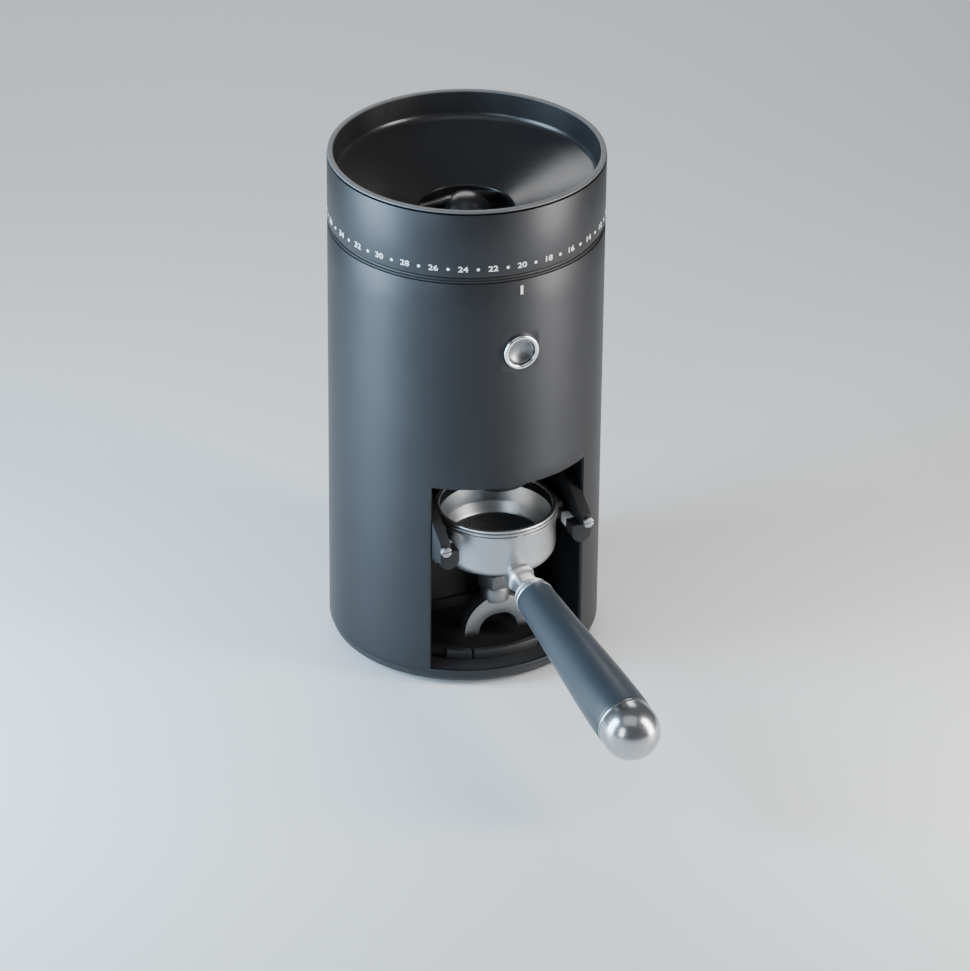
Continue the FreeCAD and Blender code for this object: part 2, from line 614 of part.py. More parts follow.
# ---------------------------------------------------------------- portafilter fork
def holder_bracket():
    """The fork: back plate with tongues, U-shaped shelf, two sloping side arms and rounded ends."""
    back_y, front_y = FORK_BACK_Y, FORK_BACK_Y - FORK_BACK_THICKNESS
    shelf = box(-FORK_HALF, FORK_HALF, -60, back_y, FORK_Z0, FORK_Z1)
    shelf = shelf.cut(cyl(FORK_OPENING, 60, 120, 0, DOCK_Y))
    shelf = shelf.cut(box(-FORK_OPENING, FORK_OPENING, -70, DOCK_Y, 60, 120))
    shelf = shelf.cut(box(-ARM_INNER, ARM_INNER, -70, -50, 60, 120))
    back = box(-FORK_HALF, FORK_HALF, front_y, back_y, 80, 104)
    back = back.cut(box(-9, 9, -12, -4, 98, 110))
    ribs = [box(x - 1.5, x + 1.5, front_y - 1.2, front_y, FORK_Z1, 104) for x in (-34.0, 34.0)]
    tongues = [box(x - 5, x + 5, back_y, -3.2, 88, 94) for x in (-23.0, 23.0)]
    arm = extruded([Vector(ARM_INNER, y, z) for y, z in (
        (back_y, 80.0), (back_y, 112.0), (-47.0, 112.0), (-72.0, 96.4), (-72.0, 87.0), (-66.0, 82.0))],
        Vector(FORK_HALF - ARM_INNER, 0, 0))
    end_r = (FORK_HALF - FORK_OPENING) / 2
    end_x = (FORK_HALF + FORK_OPENING) / 2
    end_z = EAR_Z0 - 0.6 - end_r
    foot = along_y(end_r, -72.0, -63.0, end_x, end_z)
    sole = box(FORK_OPENING, FORK_HALF, -72.0, -63.0, end_z, EAR_Z0 - 0.6)
    side = joined([arm, foot, sole])
    side = side.cut(along_y(1.6, -80, -64, 42.0, 92.7))
    return joined([shelf, back, side, mirrored(side)] + ribs + tongues)


def holder_pads():
    """Two soft pads just behind the fork's ends, beside the cup."""
    pad = box(FORK_OPENING + 0.3, ARM_INNER, -63.0, -55.0, 85.0, FORK_Z1 - 0.3)
    pad = softened(pad, 1.0, lambda e: abs(e.tangentAt(e.FirstParameter).z) > 0.9)
    return group([pad, mirrored(pad)])


def holder_screws():
    """The bright screws in the fork's ends."""
    screw = joined([along_y(1.6, -72.0, -64.0, 42.0, 92.7), along_y(2.9, -75.0, -72.0, 42.0, 92.7)])
    screw = screw.cut(box(38.0, 46.0, -76, -74.1, 92.3, 93.1))
    return group([screw, mirrored(screw)])


# ---------------------------------------------------------------- portafilter
CUP_OUTLINE = [
    (26.0, CUP_BOTTOM), (29.8, CUP_BOTTOM + 1.2), (32.1, CUP_BOTTOM + 3.8), (CUP_R, CUP_BOTTOM + 7.5),
    (CUP_R, FLANGE_Z0), (FLANGE_R, FLANGE_Z0), (FLANGE_R, 96.4), (FLANGE_R - 0.5, 96.7),
    (FLANGE_R - 0.5, CUP_TOP)]


def portafilter_body():
    """The cup with its rim flange, two ears, spout socket and a front index notch."""
    wall_in = CUP_R - 1.1
    inside = [(wall_in, CUP_TOP), (wall_in, 74.0), (28.0, CUP_BOTTOM + 2.6), (STEM_BORE, CUP_BOTTOM + 2.6)]
    cup = turned([(STEM_BORE, CUP_BOTTOM)] + CUP_OUTLINE + inside, 0, DOCK_Y)
    ear = box(CUP_R - 0.3, EAR_R, DOCK_Y - 8, DOCK_Y + 8, EAR_Z0, FLANGE_Z0)
    ear = ear.common(cyl(EAR_R, 80, 100, 0, DOCK_Y))
    socket = tube(8.5, STEM_BORE, NUT_Z1, CUP_BOTTOM + 1.0, 0, DOCK_Y)
    body = joined([cup, ear, mirrored(ear), socket])
    notch = box(-1.8, 1.8, DOCK_Y - 36, DOCK_Y - CUP_R, FLANGE_Z0 - 0.5, FLANGE_Z0 + 0.7)
    return body.cut(notch)


def filter_basket():
    return turned([
        (26.5, BASKET_FLOOR + 0.9), (30.8, BASKET_TOP - 0.8), (31.6, BASKET_TOP),
        (BASKET_RIM_R - 0.3, BASKET_TOP), (BASKET_RIM_R, BASKET_TOP - 0.4), (BASKET_RIM_R, CUP_TOP + 0.6),
        (BASKET_RIM_R - 0.6, CUP_TOP), (31.6, CUP_TOP), (27.4, BASKET_FLOOR),
        (0, BASKET_FLOOR), (0, BASKET_FLOOR + 0.9)], 0, DOCK_Y)


def basket_clip():
    """A sprung wire ring between the basket and the cup."""
    wire = Part.makeTorus(31.1, 0.6, Vector(0, DOCK_Y, 89.0))
    return wire.cut(box(-6, 6, DOCK_Y, DOCK_Y + 40, 80, 95))


def spout_nut():
    corners = [math.radians(60 * i) for i in range(6)]
    hexagon = [Vector(NUT_R * math.cos(a), DOCK_Y + NUT_R * math.sin(a), NUT_Z0) for a in corners]
    return extruded(hexagon, Vector(0, 0, NUT_Z1 - NUT_Z0)).cut(cyl(STEM_BORE, 40, 60, 0, DOCK_Y))


def arch(tube_r):
    """The spout's bent tube: a half ring with straight ends pointing down."""
    ring = Part.makeTorus(SPOUT_ARCH_R, tube_r, Vector(0, DOCK_Y, SPOUT_ARCH_Z), Vector(0, 1, 0))
    upper = ring.common(box(-40, 40, DOCK_Y - 20, DOCK_Y + 20, SPOUT_ARCH_Z, 60))
    ends = [cyl(tube_r, SPOUT_TIP_Z, SPOUT_ARCH_Z, x, DOCK_Y) for x in (-SPOUT_ARCH_R, SPOUT_ARCH_R)]
    return joined([upper] + ends)


def double_spout():
    collar = cyl(8.2, SPOUT_ARCH_Z + SPOUT_ARCH_R, NUT_Z0, 0, DOCK_Y)
    return joined([arch(SPOUT_TUBE_R), collar]).cut(arch(SPOUT_TUBE_R - 1.8)).cut(
        cyl(STEM_BORE, SPOUT_ARCH_Z + SPOUT_ARCH_R, 50, 0, DOCK_Y))


def on_handle(shape):
    """Place a shape that was made along +X on the handle's sloping line."""
    placed = shape.copy()
    placed.Placement = Placement(HANDLE_START, Rotation(AXIS_Z, -90).multiply(
        Rotation(Vector(0, 1, 0), HANDLE_TILT)))
    return placed


def handle_turned(points):
    """A solid of revolution about the handle's line, from (distance, radius) points."""
    outline = [Vector(d, 0, r) for d, r in points]
    face = Part.Face(Part.makePolygon(outline + outline[:1]))
    return on_handle(face.revolve(ORIGIN, Vector(1, 0, 0), 360))


def handle_neck():
    """The squared bar between the cup and the handle's collar, with a raised shoulder."""
    bar = box(-21.0, COLLAR_START, -6.2, 6.2, -5.2, 5.6)
    bar = softened(bar, 1.4, lambda e: abs(e.tangentAt(e.FirstParameter).x) > 0.9)
    shoulder = box(-13.5, -10.5, -7.2, 7.2, -6.4, 6.8)
    shoulder = softened(shoulder, 0.9, lambda e: True)
    bar = on_handle(joined([bar, shoulder]))
    return bar.cut(turned([(0, CUP_BOTTOM)] + CUP_OUTLINE + [(0, CUP_TOP)], 0, DOCK_Y))


def handle_collar():
    return handle_turned([(COLLAR_START, 0), (COLLAR_START, 8.6), (COLLAR_START + 1.6, 9.9),
                          (GRIP_START - 1, 10.8), (GRIP_START, 10.8), (GRIP_START, 0)])


def handle_grip():
    curve = Part.BSplineCurve()
    curve.interpolate([Vector(d, 0, r) for d, r in GRIP_PROFILE])
    top = curve.toShape()
    start, end = Vector(GRIP_START, 0, 3.0), Vector(GRIP_END, 0, 3.0)
    first, last = Vector(*top.Vertexes[0].Point), Vector(*top.Vertexes[-1].Point)
    sides = [Part.makeLine(start, first), top, Part.makeLine(last, end), Part.makeLine(end, start)]
    return on_handle(Part.Face(Part.Wire(sides)).revolve(ORIGIN, Vector(1, 0, 0), 360))


def handle_rod():
    return handle_turned([(GRIP_START, 0), (GRIP_START, 3.0), (ROD_END, 3.0), (ROD_END, 0)])


def end_ball():
    """The polished knob: a ball with a short cylindrical skirt that meets the grip."""
    foot, along = Vector(GRIP_END, 0, 0), Vector(1, 0, 0)
    ball = Part.makeSphere(BALL_R, Vector(BALL_AT, 0, 0)).common(box(GRIP_END, 200, -20, 20, -20, 20))
    skirt = Part.makeCylinder(BALL_R, BALL_AT - GRIP_END, foot, along)
    hole = Part.makeCylinder(3.0, ROD_END - GRIP_END, foot, along)
    return on_handle(joined([ball, skirt]).cut(hole))


# ---------------------------------------------------------------- output
PIECES = (
    foot_ring, base_plate, base_screws, outer_shell, bay_liner, cup_locator, top_collar,
    glide_ring, deck_plate, frame_rods, frame_screws, motor_plate, gear_cover, motor_can, motor_end_bell,
    motor_magnets, motor_shaft, lower_bearing, upper_bearing, grind_chamber, grounds_chute, chute_spout,
    control_board, board_parts, button_bezel, microswitch, start_button, button_bellows, power_inlet,
    inlet_pins, holder_rail, adjust_ring, hopper, ring_flange, ring_posts,
    hub_guard, upper_burr_carrier, upper_burr, upper_burr_screws, drive_shaft, lower_burr_carrier,
    lower_burr, lower_burr_screws, feed_auger, drive_gear, motor_rotor, motor_pinion,
    holder_bracket, holder_pads, holder_screws, portafilter_body, filter_basket, basket_clip,
    spout_nut, double_spout, handle_neck, handle_collar, handle_grip, handle_rod, end_ball)


def main():
    os.makedirs("parts", exist_ok=True)
    for piece in PIECES:
        shape = piece()
        if not shape.isValid():
            raise ValueError(piece.__name__ + " is not a valid solid")
        shape.exportStep("parts/" + piece.__name__ + ".step")
        print(piece.__name__, len(shape.Solids), round(shape.Volume / 1000, 2), "cm3")


main()
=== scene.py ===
"""Dress for an upright burr coffee grinder with a portafilter docked in its front bay."""
import logging
import math
from contextlib import contextmanager
from dataclasses import dataclass, field
from enum import Enum
from typing import Callable, Iterator, Sequence

import bpy
from mathutils import Matrix, Vector


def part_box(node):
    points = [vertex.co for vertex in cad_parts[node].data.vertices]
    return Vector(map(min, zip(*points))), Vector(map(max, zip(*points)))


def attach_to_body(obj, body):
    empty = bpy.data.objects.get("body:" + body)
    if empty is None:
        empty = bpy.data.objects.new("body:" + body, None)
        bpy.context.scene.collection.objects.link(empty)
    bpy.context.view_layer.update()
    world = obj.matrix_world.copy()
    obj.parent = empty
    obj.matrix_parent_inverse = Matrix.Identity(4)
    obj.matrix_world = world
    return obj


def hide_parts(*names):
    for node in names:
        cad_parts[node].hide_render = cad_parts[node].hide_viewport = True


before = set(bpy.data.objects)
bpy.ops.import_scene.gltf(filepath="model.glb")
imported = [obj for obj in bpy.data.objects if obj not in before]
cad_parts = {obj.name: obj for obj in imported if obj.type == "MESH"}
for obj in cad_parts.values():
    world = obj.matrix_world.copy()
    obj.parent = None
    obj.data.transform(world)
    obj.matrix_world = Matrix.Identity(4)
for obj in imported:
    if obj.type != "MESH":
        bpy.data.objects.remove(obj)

MM = 0.001
ROUND = 160
SMOOTH_ANGLE = math.radians(32)
MERGE_GAP = 0.00002
MARK_DETAIL, PATCH_DETAIL = 6.0, 3.0
MARK_SHARE = 0.45
TONE_RANGE = (0.42, 1.02)
GLOSS_RANGE = (0.7, 1.3)
SHEEN_ROUGHNESS = 0.4
SKY_COLOUR, SKY_STRENGTH = (0.9, 0.93, 1.0, 1.0), 0.20
CLEAR_WHITE = (1.0, 1.0, 1.0)
CLIP_END = 50.0

Piece = bpy.types.Object
Outline = Sequence[tuple[float, float]]
log = logging.getLogger("grinder")


# --- bench moves
def deselect() -> None:
    """Let go of everything, so that the next operator acts on one piece."""
    bpy.ops.object.select_all(action="DESELECT")


def hold(piece: Piece) -> None:
    """Select one piece alone and make it the active one.

    Args:
        piece: the piece to work on.
    """
    deselect()
    piece.select_set(True)
    bpy.context.view_layer.objects.active = piece


@contextmanager
def editing(piece: Piece) -> Iterator[None]:
    """Edit mode on one piece, with all of it selected.

    Args:
        piece: the piece to edit.
    """
    hold(piece)
    bpy.ops.object.mode_set(mode="EDIT")
    bpy.ops.mesh.select_all(action="SELECT")
    yield
    bpy.ops.object.mode_set(mode="OBJECT")


def named(name: str) -> Piece:
    """Name the newest primitive and its mesh.

    Args:
        name: the piece's name.

    Returns:
        The piece.
    """
    piece = bpy.context.object
    piece.name = name
    piece.data.name = name
    return piece


def apply_place(piece: Piece) -> None:
    """Put the piece's place, turn and size into its mesh."""
    hold(piece)
    bpy.ops.object.transform_apply(location=True, rotation=True, scale=True)


def apply_modifier(piece: Piece, kind: str, **settings: object) -> None:
    """Add one modifier with its settings and apply it.

    Args:
        piece: the piece to change.
        kind: the modifier's type, such as "BEVEL".
        settings: the modifier's properties.
    """
    hold(piece)
    modifier = piece.modifiers.new(kind.title(), kind)
    for key, value in settings.items():
        setattr(modifier, key, value)
    bpy.ops.object.modifier_apply(modifier=modifier.name)


def break_edges(piece: Piece, width: float, segments: int = 2, angle: float = 28.0) -> Piece:
    """Round every edge that is sharper than an angle, then shade the piece smooth between edges.

    Args:
        piece: the piece to finish.
        width: the rounding's width in millimetres, or 0 for none.
        segments: steps across the rounding.
        angle: the least turn, in degrees, that counts as an edge.

    Returns:
        The same piece.
    """
    if width:
        apply_modifier(piece, "BEVEL", width=width * MM, segments=segments, limit_method="ANGLE",
                       angle_limit=math.radians(angle))
    hold(piece)
    bpy.ops.object.shade_smooth_by_angle(angle=SMOOTH_ANGLE)
    return piece


def close_up() -> None:
    """In edit mode: merge doubles, fill open ends and turn every face outwards."""
    bpy.ops.mesh.select_all(action="SELECT")
    bpy.ops.mesh.remove_doubles(threshold=MERGE_GAP)
    bpy.ops.mesh.fill_holes(sides=0)
    bpy.ops.mesh.select_all(action="SELECT")
    bpy.ops.mesh.normals_make_consistent(inside=False)


def lathe(name: str, outline: Outline, edge: float = 0.3, loop: bool = True, steps: int = ROUND,
          centre: tuple[float, float] = (0.0, 0.0)) -> Piece:
    """Turn an outline about an upright line, by drawing a ring out from point to point.

    Args:
        name: the piece's name.
        outline: (radius, height) points in millimetres, none of them on the axis.
        edge: the width of the broken edges in millimetres.
        loop: whether the last point joins the first; if not, both ends are filled flat.
        steps: sides of the ring.
        centre: the axis's X and Y in millimetres.

    Returns:
        The turned piece.
    """
    deselect()
    radius, height = outline[0]
    place = (centre[0] * MM, centre[1] * MM)
    bpy.ops.mesh.primitive_circle_add(vertices=steps, radius=radius * MM, location=(*place, height * MM))
    piece = named(name)
    route = list(outline[1:]) + ([outline[0]] if loop else [])
    with editing(piece):
        for next_radius, next_height in route:
            rise = (0, 0, (next_height - height) * MM)
            bpy.ops.mesh.extrude_region_move(TRANSFORM_OT_translate={"value": rise})
            growth = next_radius / radius
            bpy.ops.transform.resize(value=(growth, growth, 1), center_override=(*place, next_height * MM))
            radius, height = next_radius, next_height
        close_up()
    apply_place(piece)
    return break_edges(piece, edge)


def block(name: str, low: Sequence[float], high: Sequence[float], edge: float, segments: int = 3) -> Piece:
    """A box between two corners, in millimetres, with rounded edges.

    Args:
        name: the piece's name.
        low: the lowest corner.
        high: the highest corner.
        edge: the rounding's width.
        segments: steps across the rounding.

    Returns:
        The piece.
    """
    deselect()
    middle = [(a + b) / 2 * MM for a, b in zip(low, high)]
    bpy.ops.mesh.primitive_cube_add(size=1, location=middle)
    piece = named(name)
    with editing(piece):
        bpy.ops.transform.resize(value=[(b - a) * MM for a, b in zip(low, high)], center_override=middle)
    apply_place(piece)
    return break_edges(piece, edge, segments)


def drawn_bar(name: str, stations: Sequence[tuple[float, float, float, float]], edge: float,
              segments: int) -> Piece:
    """Draw a rectangular section upwards through stations, changing its size on the way.

    Args:
        name: the piece's name.
        stations: (height, Y offset, width along X, depth along Y) of each section, in millimetres.
        edge: the rounding of the section's corners.
        segments: steps across the rounding.

    Returns:
        The bar, standing on the origin.
    """
    deselect()
    far, shift, wide, deep = stations[0]
    bpy.ops.mesh.primitive_plane_add(size=1, location=(0, shift * MM, far * MM))
    piece = named(name)
    apply_place(piece)
    with editing(piece):
        middle = Vector((0, shift, far)) * MM
        bpy.ops.transform.resize(value=(wide * MM, deep * MM, 1), center_override=middle)
        bpy.ops.mesh.bevel(offset=edge * MM, segments=segments, affect="VERTICES")
        for next_far, next_shift, next_wide, next_deep in stations[1:]:
            step = Vector((0, next_shift - shift, next_far - far)) * MM
            bpy.ops.mesh.extrude_region_move(TRANSFORM_OT_translate={"value": step})
            middle += step
            bpy.ops.transform.resize(value=(next_wide / wide, next_deep / deep, 1), center_override=middle)
            far, shift, wide, deep = next_far, next_shift, next_wide, next_deep
        close_up()
    return break_edges(piece, 0.0)


def turn_onto(piece: Piece, start: Vector, along: Vector) -> Piece:
    """Carry a piece that stands on the origin to a start point, with its upright axis along a direction.

    Args:
        piece: the piece, made about the upright axis.
        start: where its origin goes, in metres.
        along: the direction that its upright axis takes.

    Returns:
        The same piece.
    """
    turn = along.to_track_quat("Z", "Y").to_matrix().to_4x4()
    piece.matrix_world = Matrix.Translation(start) @ turn
    apply_place(piece)
    return piece


def combine(name: str, parts: Sequence[Piece]) -> Piece:
    """Join several pieces into one, the first giving its place.

    Args:
        name: the joined piece's name.
        parts: the pieces.

    Returns:
        The joined piece.
    """
    hold(parts[0])
    for part in parts[1:]:
        part.select_set(True)
    bpy.ops.object.join()
    return named(name)


def carve(piece: Piece, tool: Piece) -> None:
    """Cut a tool out of a piece and throw the tool away.

    Args:
        piece: the piece to cut.
        tool: the shape to cut with.
    """
    apply_modifier(piece, "BOOLEAN", object=tool, operation="DIFFERENCE", solver="EXACT")
    bpy.data.objects.remove(tool)


def from_design(name: str, node: str, edge: float, segments: int = 2) -> Piece:
    """A merged copy of a CAD node with its flat faces cleaned and its edges broken.

    Args:
        name: the new piece's name.
        node: the CAD node to copy.
        edge: the rounding's width in millimetres.
        segments: steps across the rounding.

    Returns:
        The new piece.
    """
    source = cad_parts[node]
    piece = bpy.data.objects.new(name, source.data.copy())
    piece.data.name = name
    piece.data.materials.clear()
    bpy.context.scene.collection.objects.link(piece)
    with editing(piece):
        bpy.ops.mesh.remove_doubles(threshold=MERGE_GAP)
        bpy.ops.mesh.dissolve_limited(angle_limit=math.radians(1.0))
        bpy.ops.mesh.normals_make_consistent(inside=False)
    return break_edges(piece, edge, segments, 35.0)


def arc(centre: tuple[float, float], radius: float, start: float, end: float, steps: int) -> list:
    """Points on an arc in a turned outline.

    Args:
        centre: the arc's (radius, height) centre.
        radius: the arc's radius.
        start: the first point's angle in degrees.
        end: the last point's angle in degrees.
        steps: how many spans the arc has.

    Returns:
        The points, in order.
    """
    spans = [math.radians(start + (end - start) * i / steps) for i in range(steps + 1)]
    return [(centre[0] + radius * math.cos(a), centre[1] + radius * math.sin(a)) for a in spans]


def eased(points: Outline, steps: int) -> list[tuple[float, float]]:
    """A smooth line through (distance, radius) points, with the same number of steps in each span.

    Args:
        points: the points to pass through, in order.
        steps: how many steps each span gets.

    Returns:
        The line's points as (radius, distance), which is how a turned outline is given.
    """
    ends = [points[0], *points, points[-1]]
    line = []
    for before, start, end, after in zip(ends, ends[1:], ends[2:], ends[3:]):
        rise_in = (end[1] - before[1]) / max(end[0] - before[0], 1e-6) * (end[0] - start[0])
        rise_out = (after[1] - start[1]) / max(after[0] - start[0], 1e-6) * (end[0] - start[0])
        for i in range(steps):
            t = i / steps
            radius = ((2 * t ** 3 - 3 * t ** 2 + 1) * start[1] + (t ** 3 - 2 * t ** 2 + t) * rise_in
                      + (3 * t ** 2 - 2 * t ** 3) * end[1] + (t ** 3 - t ** 2) * rise_out)
            line.append((radius, start[0] + t * (end[0] - start[0])))
    return line + [(points[-1][1], points[-1][0])]


@dataclass(frozen=True)
class Extent:
    """A CAD node's box, in millimetres."""

    low: Vector
    high: Vector

    @classmethod
    def of(cls, node: str) -> "Extent":
        """The extent of one CAD node at rest."""
        low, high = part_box(node)
        return cls(low / MM, high / MM)

    @property
    def middle(self) -> Vector:
        """The box's centre."""
        return (self.low + self.high) / 2

    @property
    def radius(self) -> float:
        """Half the box's width along X."""
        return (self.high.x - self.low.x) / 2


# --- finishes
class Grain(Enum):
    """How a surface was made, which sets the way its fine marks run."""

    EVEN = (1.0, 1.0, 1.0)
    LEVEL_BRUSHED = (0.02, 0.02, 1.0)


@dataclass(frozen=True)
class Finish:
    """One finish: its colour, gloss and the marks that making and use left in it."""

    name: str
    colour: tuple[float, float, float]
    roughness: float
    metallic: float = 0.0
    grain: Grain = Grain.EVEN
    grain_mm: float = 0.35
    relief_mm: float = 0.004
    gloss_spread: float = 0.06
    tone_spread: float = 0.12
    sheen: float = 0.0
    patch_mm: float = 45.0
    specular: float = 0.5

    def material(self) -> bpy.types.Material:
        """The finish as a node material, made once and shared.

        Returns:
            The material.
        """
        label = f"finish_{self.name}"
        ready = bpy.data.materials.get(label)
        if ready:
            return ready
        made = bpy.data.materials.new(label)
        made.use_nodes = True
        tree = made.node_tree
        shader = tree.nodes["Principled BSDF"]
        shader.inputs["Metallic"].default_value = self.metallic
        shader.inputs["Specular IOR Level"].default_value = self.specular
        shader.inputs["Sheen Weight"].default_value = self.sheen
        shader.inputs["Sheen Roughness"].default_value = SHEEN_ROUGHNESS
        where = tree.nodes.new("ShaderNodeTexCoord").outputs["Object"]
        marks = self._noise(tree, where, [s / (self.grain_mm * MM) for s in self.grain.value], MARK_DETAIL)
        patches = self._noise(tree, where, [1 / (self.patch_mm * MM)] * 3, PATCH_DETAIL)
        self._link_colour(tree, shader, marks, patches)
        self._link_gloss(tree, shader, marks, patches)
        bump = tree.nodes.new("ShaderNodeBump")
        bump.inputs["Distance"].default_value = self.relief_mm * MM
        tree.links.new(marks, bump.inputs["Height"])
        tree.links.new(bump.outputs["Normal"], shader.inputs["Normal"])
        return made

    @staticmethod
    def _noise(tree: bpy.types.NodeTree, where: bpy.types.NodeSocket, scale: Sequence[float],
               detail: float) -> bpy.types.NodeSocket:
        """Noise stretched by a scale along each axis.

        Args:
            tree: the material's nodes.
            where: the coordinates to read.
            scale: the pattern's repeats per metre along X, Y and Z.
            detail: the noise's octaves.

        Returns:
            The noise's value.
        """
        mapping = tree.nodes.new("ShaderNodeMapping")
        mapping.inputs["Scale"].default_value = scale
        tree.links.new(where, mapping.inputs["Vector"])
        noise = tree.nodes.new("ShaderNodeTexNoise")
        noise.inputs["Scale"].default_value = 1.0
        noise.inputs["Detail"].default_value = detail
        tree.links.new(mapping.outputs["Vector"], noise.inputs["Vector"])
        return noise.outputs["Fac"]

    def _link_colour(self, tree: bpy.types.NodeTree, shader: bpy.types.Node,
                     marks: bpy.types.NodeSocket, patches: bpy.types.NodeSocket) -> None:
        """Drive the base colour with the patches and, more faintly, the marks.

        Args:
            tree: the material's nodes.
            shader: the principled shader.
            marks: the fine marks' value.
            patches: the broad patches' value.
        """
        blend = tree.nodes.new("ShaderNodeMath")
        blend.operation = "MULTIPLY_ADD"
        blend.inputs[1].default_value = MARK_SHARE
        tree.links.new(marks, blend.inputs[0])
        tree.links.new(patches, blend.inputs[2])
        ramp = tree.nodes.new("ShaderNodeValToRGB")
        tones = (1 - self.tone_spread, 1 + self.tone_spread)
        for element, place, share in zip(ramp.color_ramp.elements, TONE_RANGE, tones):
            element.position = place
            element.color = (*[min(1.0, c * share) for c in self.colour], 1.0)
        tree.links.new(blend.outputs["Value"], ramp.inputs["Fac"])
        tree.links.new(ramp.outputs["Color"], shader.inputs["Base Color"])

    def _link_gloss(self, tree: bpy.types.NodeTree, shader: bpy.types.Node,
                    marks: bpy.types.NodeSocket, patches: bpy.types.NodeSocket) -> None:
        """Drive the roughness, so that gloss varies as handled surfaces do.

        Args:
            tree: the material's nodes.
            shader: the principled shader.
            marks: the fine marks' value.
            patches: the broad patches' value.
        """
        mean = tree.nodes.new("ShaderNodeMath")
        mean.operation = "ADD"
        tree.links.new(marks, mean.inputs[0])
        tree.links.new(patches, mean.inputs[1])
        spread = tree.nodes.new("ShaderNodeMapRange")
        spread.inputs["From Min"].default_value, spread.inputs["From Max"].default_value = GLOSS_RANGE
        spread.inputs["To Min"].default_value = max(0.02, self.roughness - self.gloss_spread)
        spread.inputs["To Max"].default_value = min(1.0, self.roughness + self.gloss_spread)
        tree.links.new(mean.outputs["Value"], spread.inputs["Value"])
        tree.links.new(spread.outputs["Result"], shader.inputs["Roughness"])


@dataclass(frozen=True)
class FinishSet:
    """Every finish on the grinder."""

    anodised: Finish = Finish("black_anodised", (0.046, 0.047, 0.050), 0.46, 0.95, Grain.EVEN, 0.22, 0.0022,
                              0.03, 0.08)
    moulded: Finish = Finish("black_moulded", (0.014, 0.014, 0.015), 0.46, grain_mm=0.28, relief_mm=0.008,
                             specular=0.4)
    # The collar band is painted darker than the other black plastic: painted shade for the gap under the
    # adjusting ring.
    shade: Finish = Finish("black_collar_painted_shade", (0.008, 0.008, 0.009), 0.6, grain_mm=0.3, relief_mm=0.004)
    # The bay's plastic is painted darker than the outside plastic: painted shade for the deep recess of the
    # bay.
    bay: Finish = Finish("bay_moulded_painted_shade", (0.010, 0.010, 0.011), 0.55, grain_mm=0.35, relief_mm=0.010,
                         specular=0.3)
    funnel: Finish = Finish("funnel_satin", (0.016, 0.016, 0.017), 0.30, grain_mm=0.3, relief_mm=0.0015,
                            gloss_spread=0.05)
    lip: Finish = Finish("lip_matt", (0.085, 0.085, 0.088), 0.5, grain_mm=0.2, relief_mm=0.004)
    rubber: Finish = Finish("foot_rubber", (0.014, 0.014, 0.014), 0.78, grain_mm=0.4, relief_mm=0.02)
    pad: Finish = Finish("pad_silicone", (0.80, 0.79, 0.77), 0.45, grain_mm=0.3, relief_mm=0.006)
    trim: Finish = Finish("bright_trim", (0.86, 0.86, 0.87), 0.16, 1.0, Grain.EVEN, 0.3, 0.0004, 0.03, 0.03)
    button: Finish = Finish("button_spun", (0.17, 0.175, 0.185), 0.26, 1.0, Grain.EVEN, 0.15, 0.0006, 0.05,
                            0.08)
    polished: Finish = Finish("polished_steel", (0.60, 0.605, 0.61), 0.36, 1.0, Grain.LEVEL_BRUSHED, 0.3,
                              0.0003, 0.04, 0.04)
    bright: Finish = Finish("satin_chrome", (0.62, 0.63, 0.645), 0.36, 1.0, Grain.EVEN, 0.4, 0.0003, 0.03,
                            0.03)
    # The spout nut's steel is painted dark: painted shade for its place under the cup, on a dull finish.
    dull: Finish = Finish("dull_steel_painted_shade", (0.12, 0.12, 0.122), 0.45, 1.0, Grain.EVEN, 0.3, 0.001, 0.04, 0.05)
    # The basket's upper inside band is steel painted near black: painted shade for the dark band below the rim.
    blued: Finish = Finish("steel_band_painted_shade", (0.016, 0.016, 0.017), 0.55, 1.0, Grain.LEVEL_BRUSHED, 0.3,
                           0.0005, 0.04, 0.05)
    pressed: Finish = Finish("pressed_steel", (0.30, 0.30, 0.305), 0.52, 1.0, Grain.EVEN, 0.3, 0.001, 0.05,
                             0.06)
    satin: Finish = Finish("satin_steel", (0.40, 0.405, 0.415), 0.40, 1.0, Grain.LEVEL_BRUSHED, 0.3, 0.0006,
                           0.05, 0.05)
    spout: Finish = Finish("blasted_steel", (0.22, 0.22, 0.222), 0.42, 1.0, Grain.EVEN, 0.25, 0.002, 0.05,
                           0.06)
    chrome: Finish = Finish("chrome", (0.44, 0.445, 0.455), 0.24, 1.0, Grain.EVEN, 0.5, 0.0002, 0.03, 0.03)
    grip: Finish = Finish("soft_touch", (0.020, 0.026, 0.034), 0.42, grain_mm=0.16, relief_mm=0.004,
                          gloss_spread=0.04, sheen=0.08)
    print: Finish = Finish("white_print", (0.82, 0.82, 0.82), 0.55, grain_mm=0.2, relief_mm=0.002,
                           tone_spread=0.04)
    shadow: Finish = Finish("hole_dark", (0.035, 0.035, 0.037), 0.6)
    cast: Finish = Finish("die_cast", (0.46, 0.46, 0.47), 0.45, 0.9, grain_mm=0.5, relief_mm=0.015)
    steel: Finish = Finish("plain_steel", (0.36, 0.36, 0.37), 0.32, 1.0, Grain.LEVEL_BRUSHED, 0.2, 0.001)
    burr: Finish = Finish("ground_tool_steel", (0.42, 0.42, 0.44), 0.25, 1.0, grain_mm=0.25, relief_mm=0.003)
    brass: Finish = Finish("turned_brass", (0.72, 0.53, 0.25), 0.25, 1.0, grain_mm=0.2, relief_mm=0.002)
    nylon: Finish = Finish("natural_nylon", (0.72, 0.69, 0.62), 0.5, grain_mm=0.4, relief_mm=0.006)
    board: Finish = Finish("board_green", (0.02, 0.12, 0.06), 0.35, grain_mm=0.5, relief_mm=0.004)
    ferrite: Finish = Finish("ferrite_grey", (0.07, 0.07, 0.075), 0.7, grain_mm=0.4, relief_mm=0.01)


FINISHES = FinishSet()


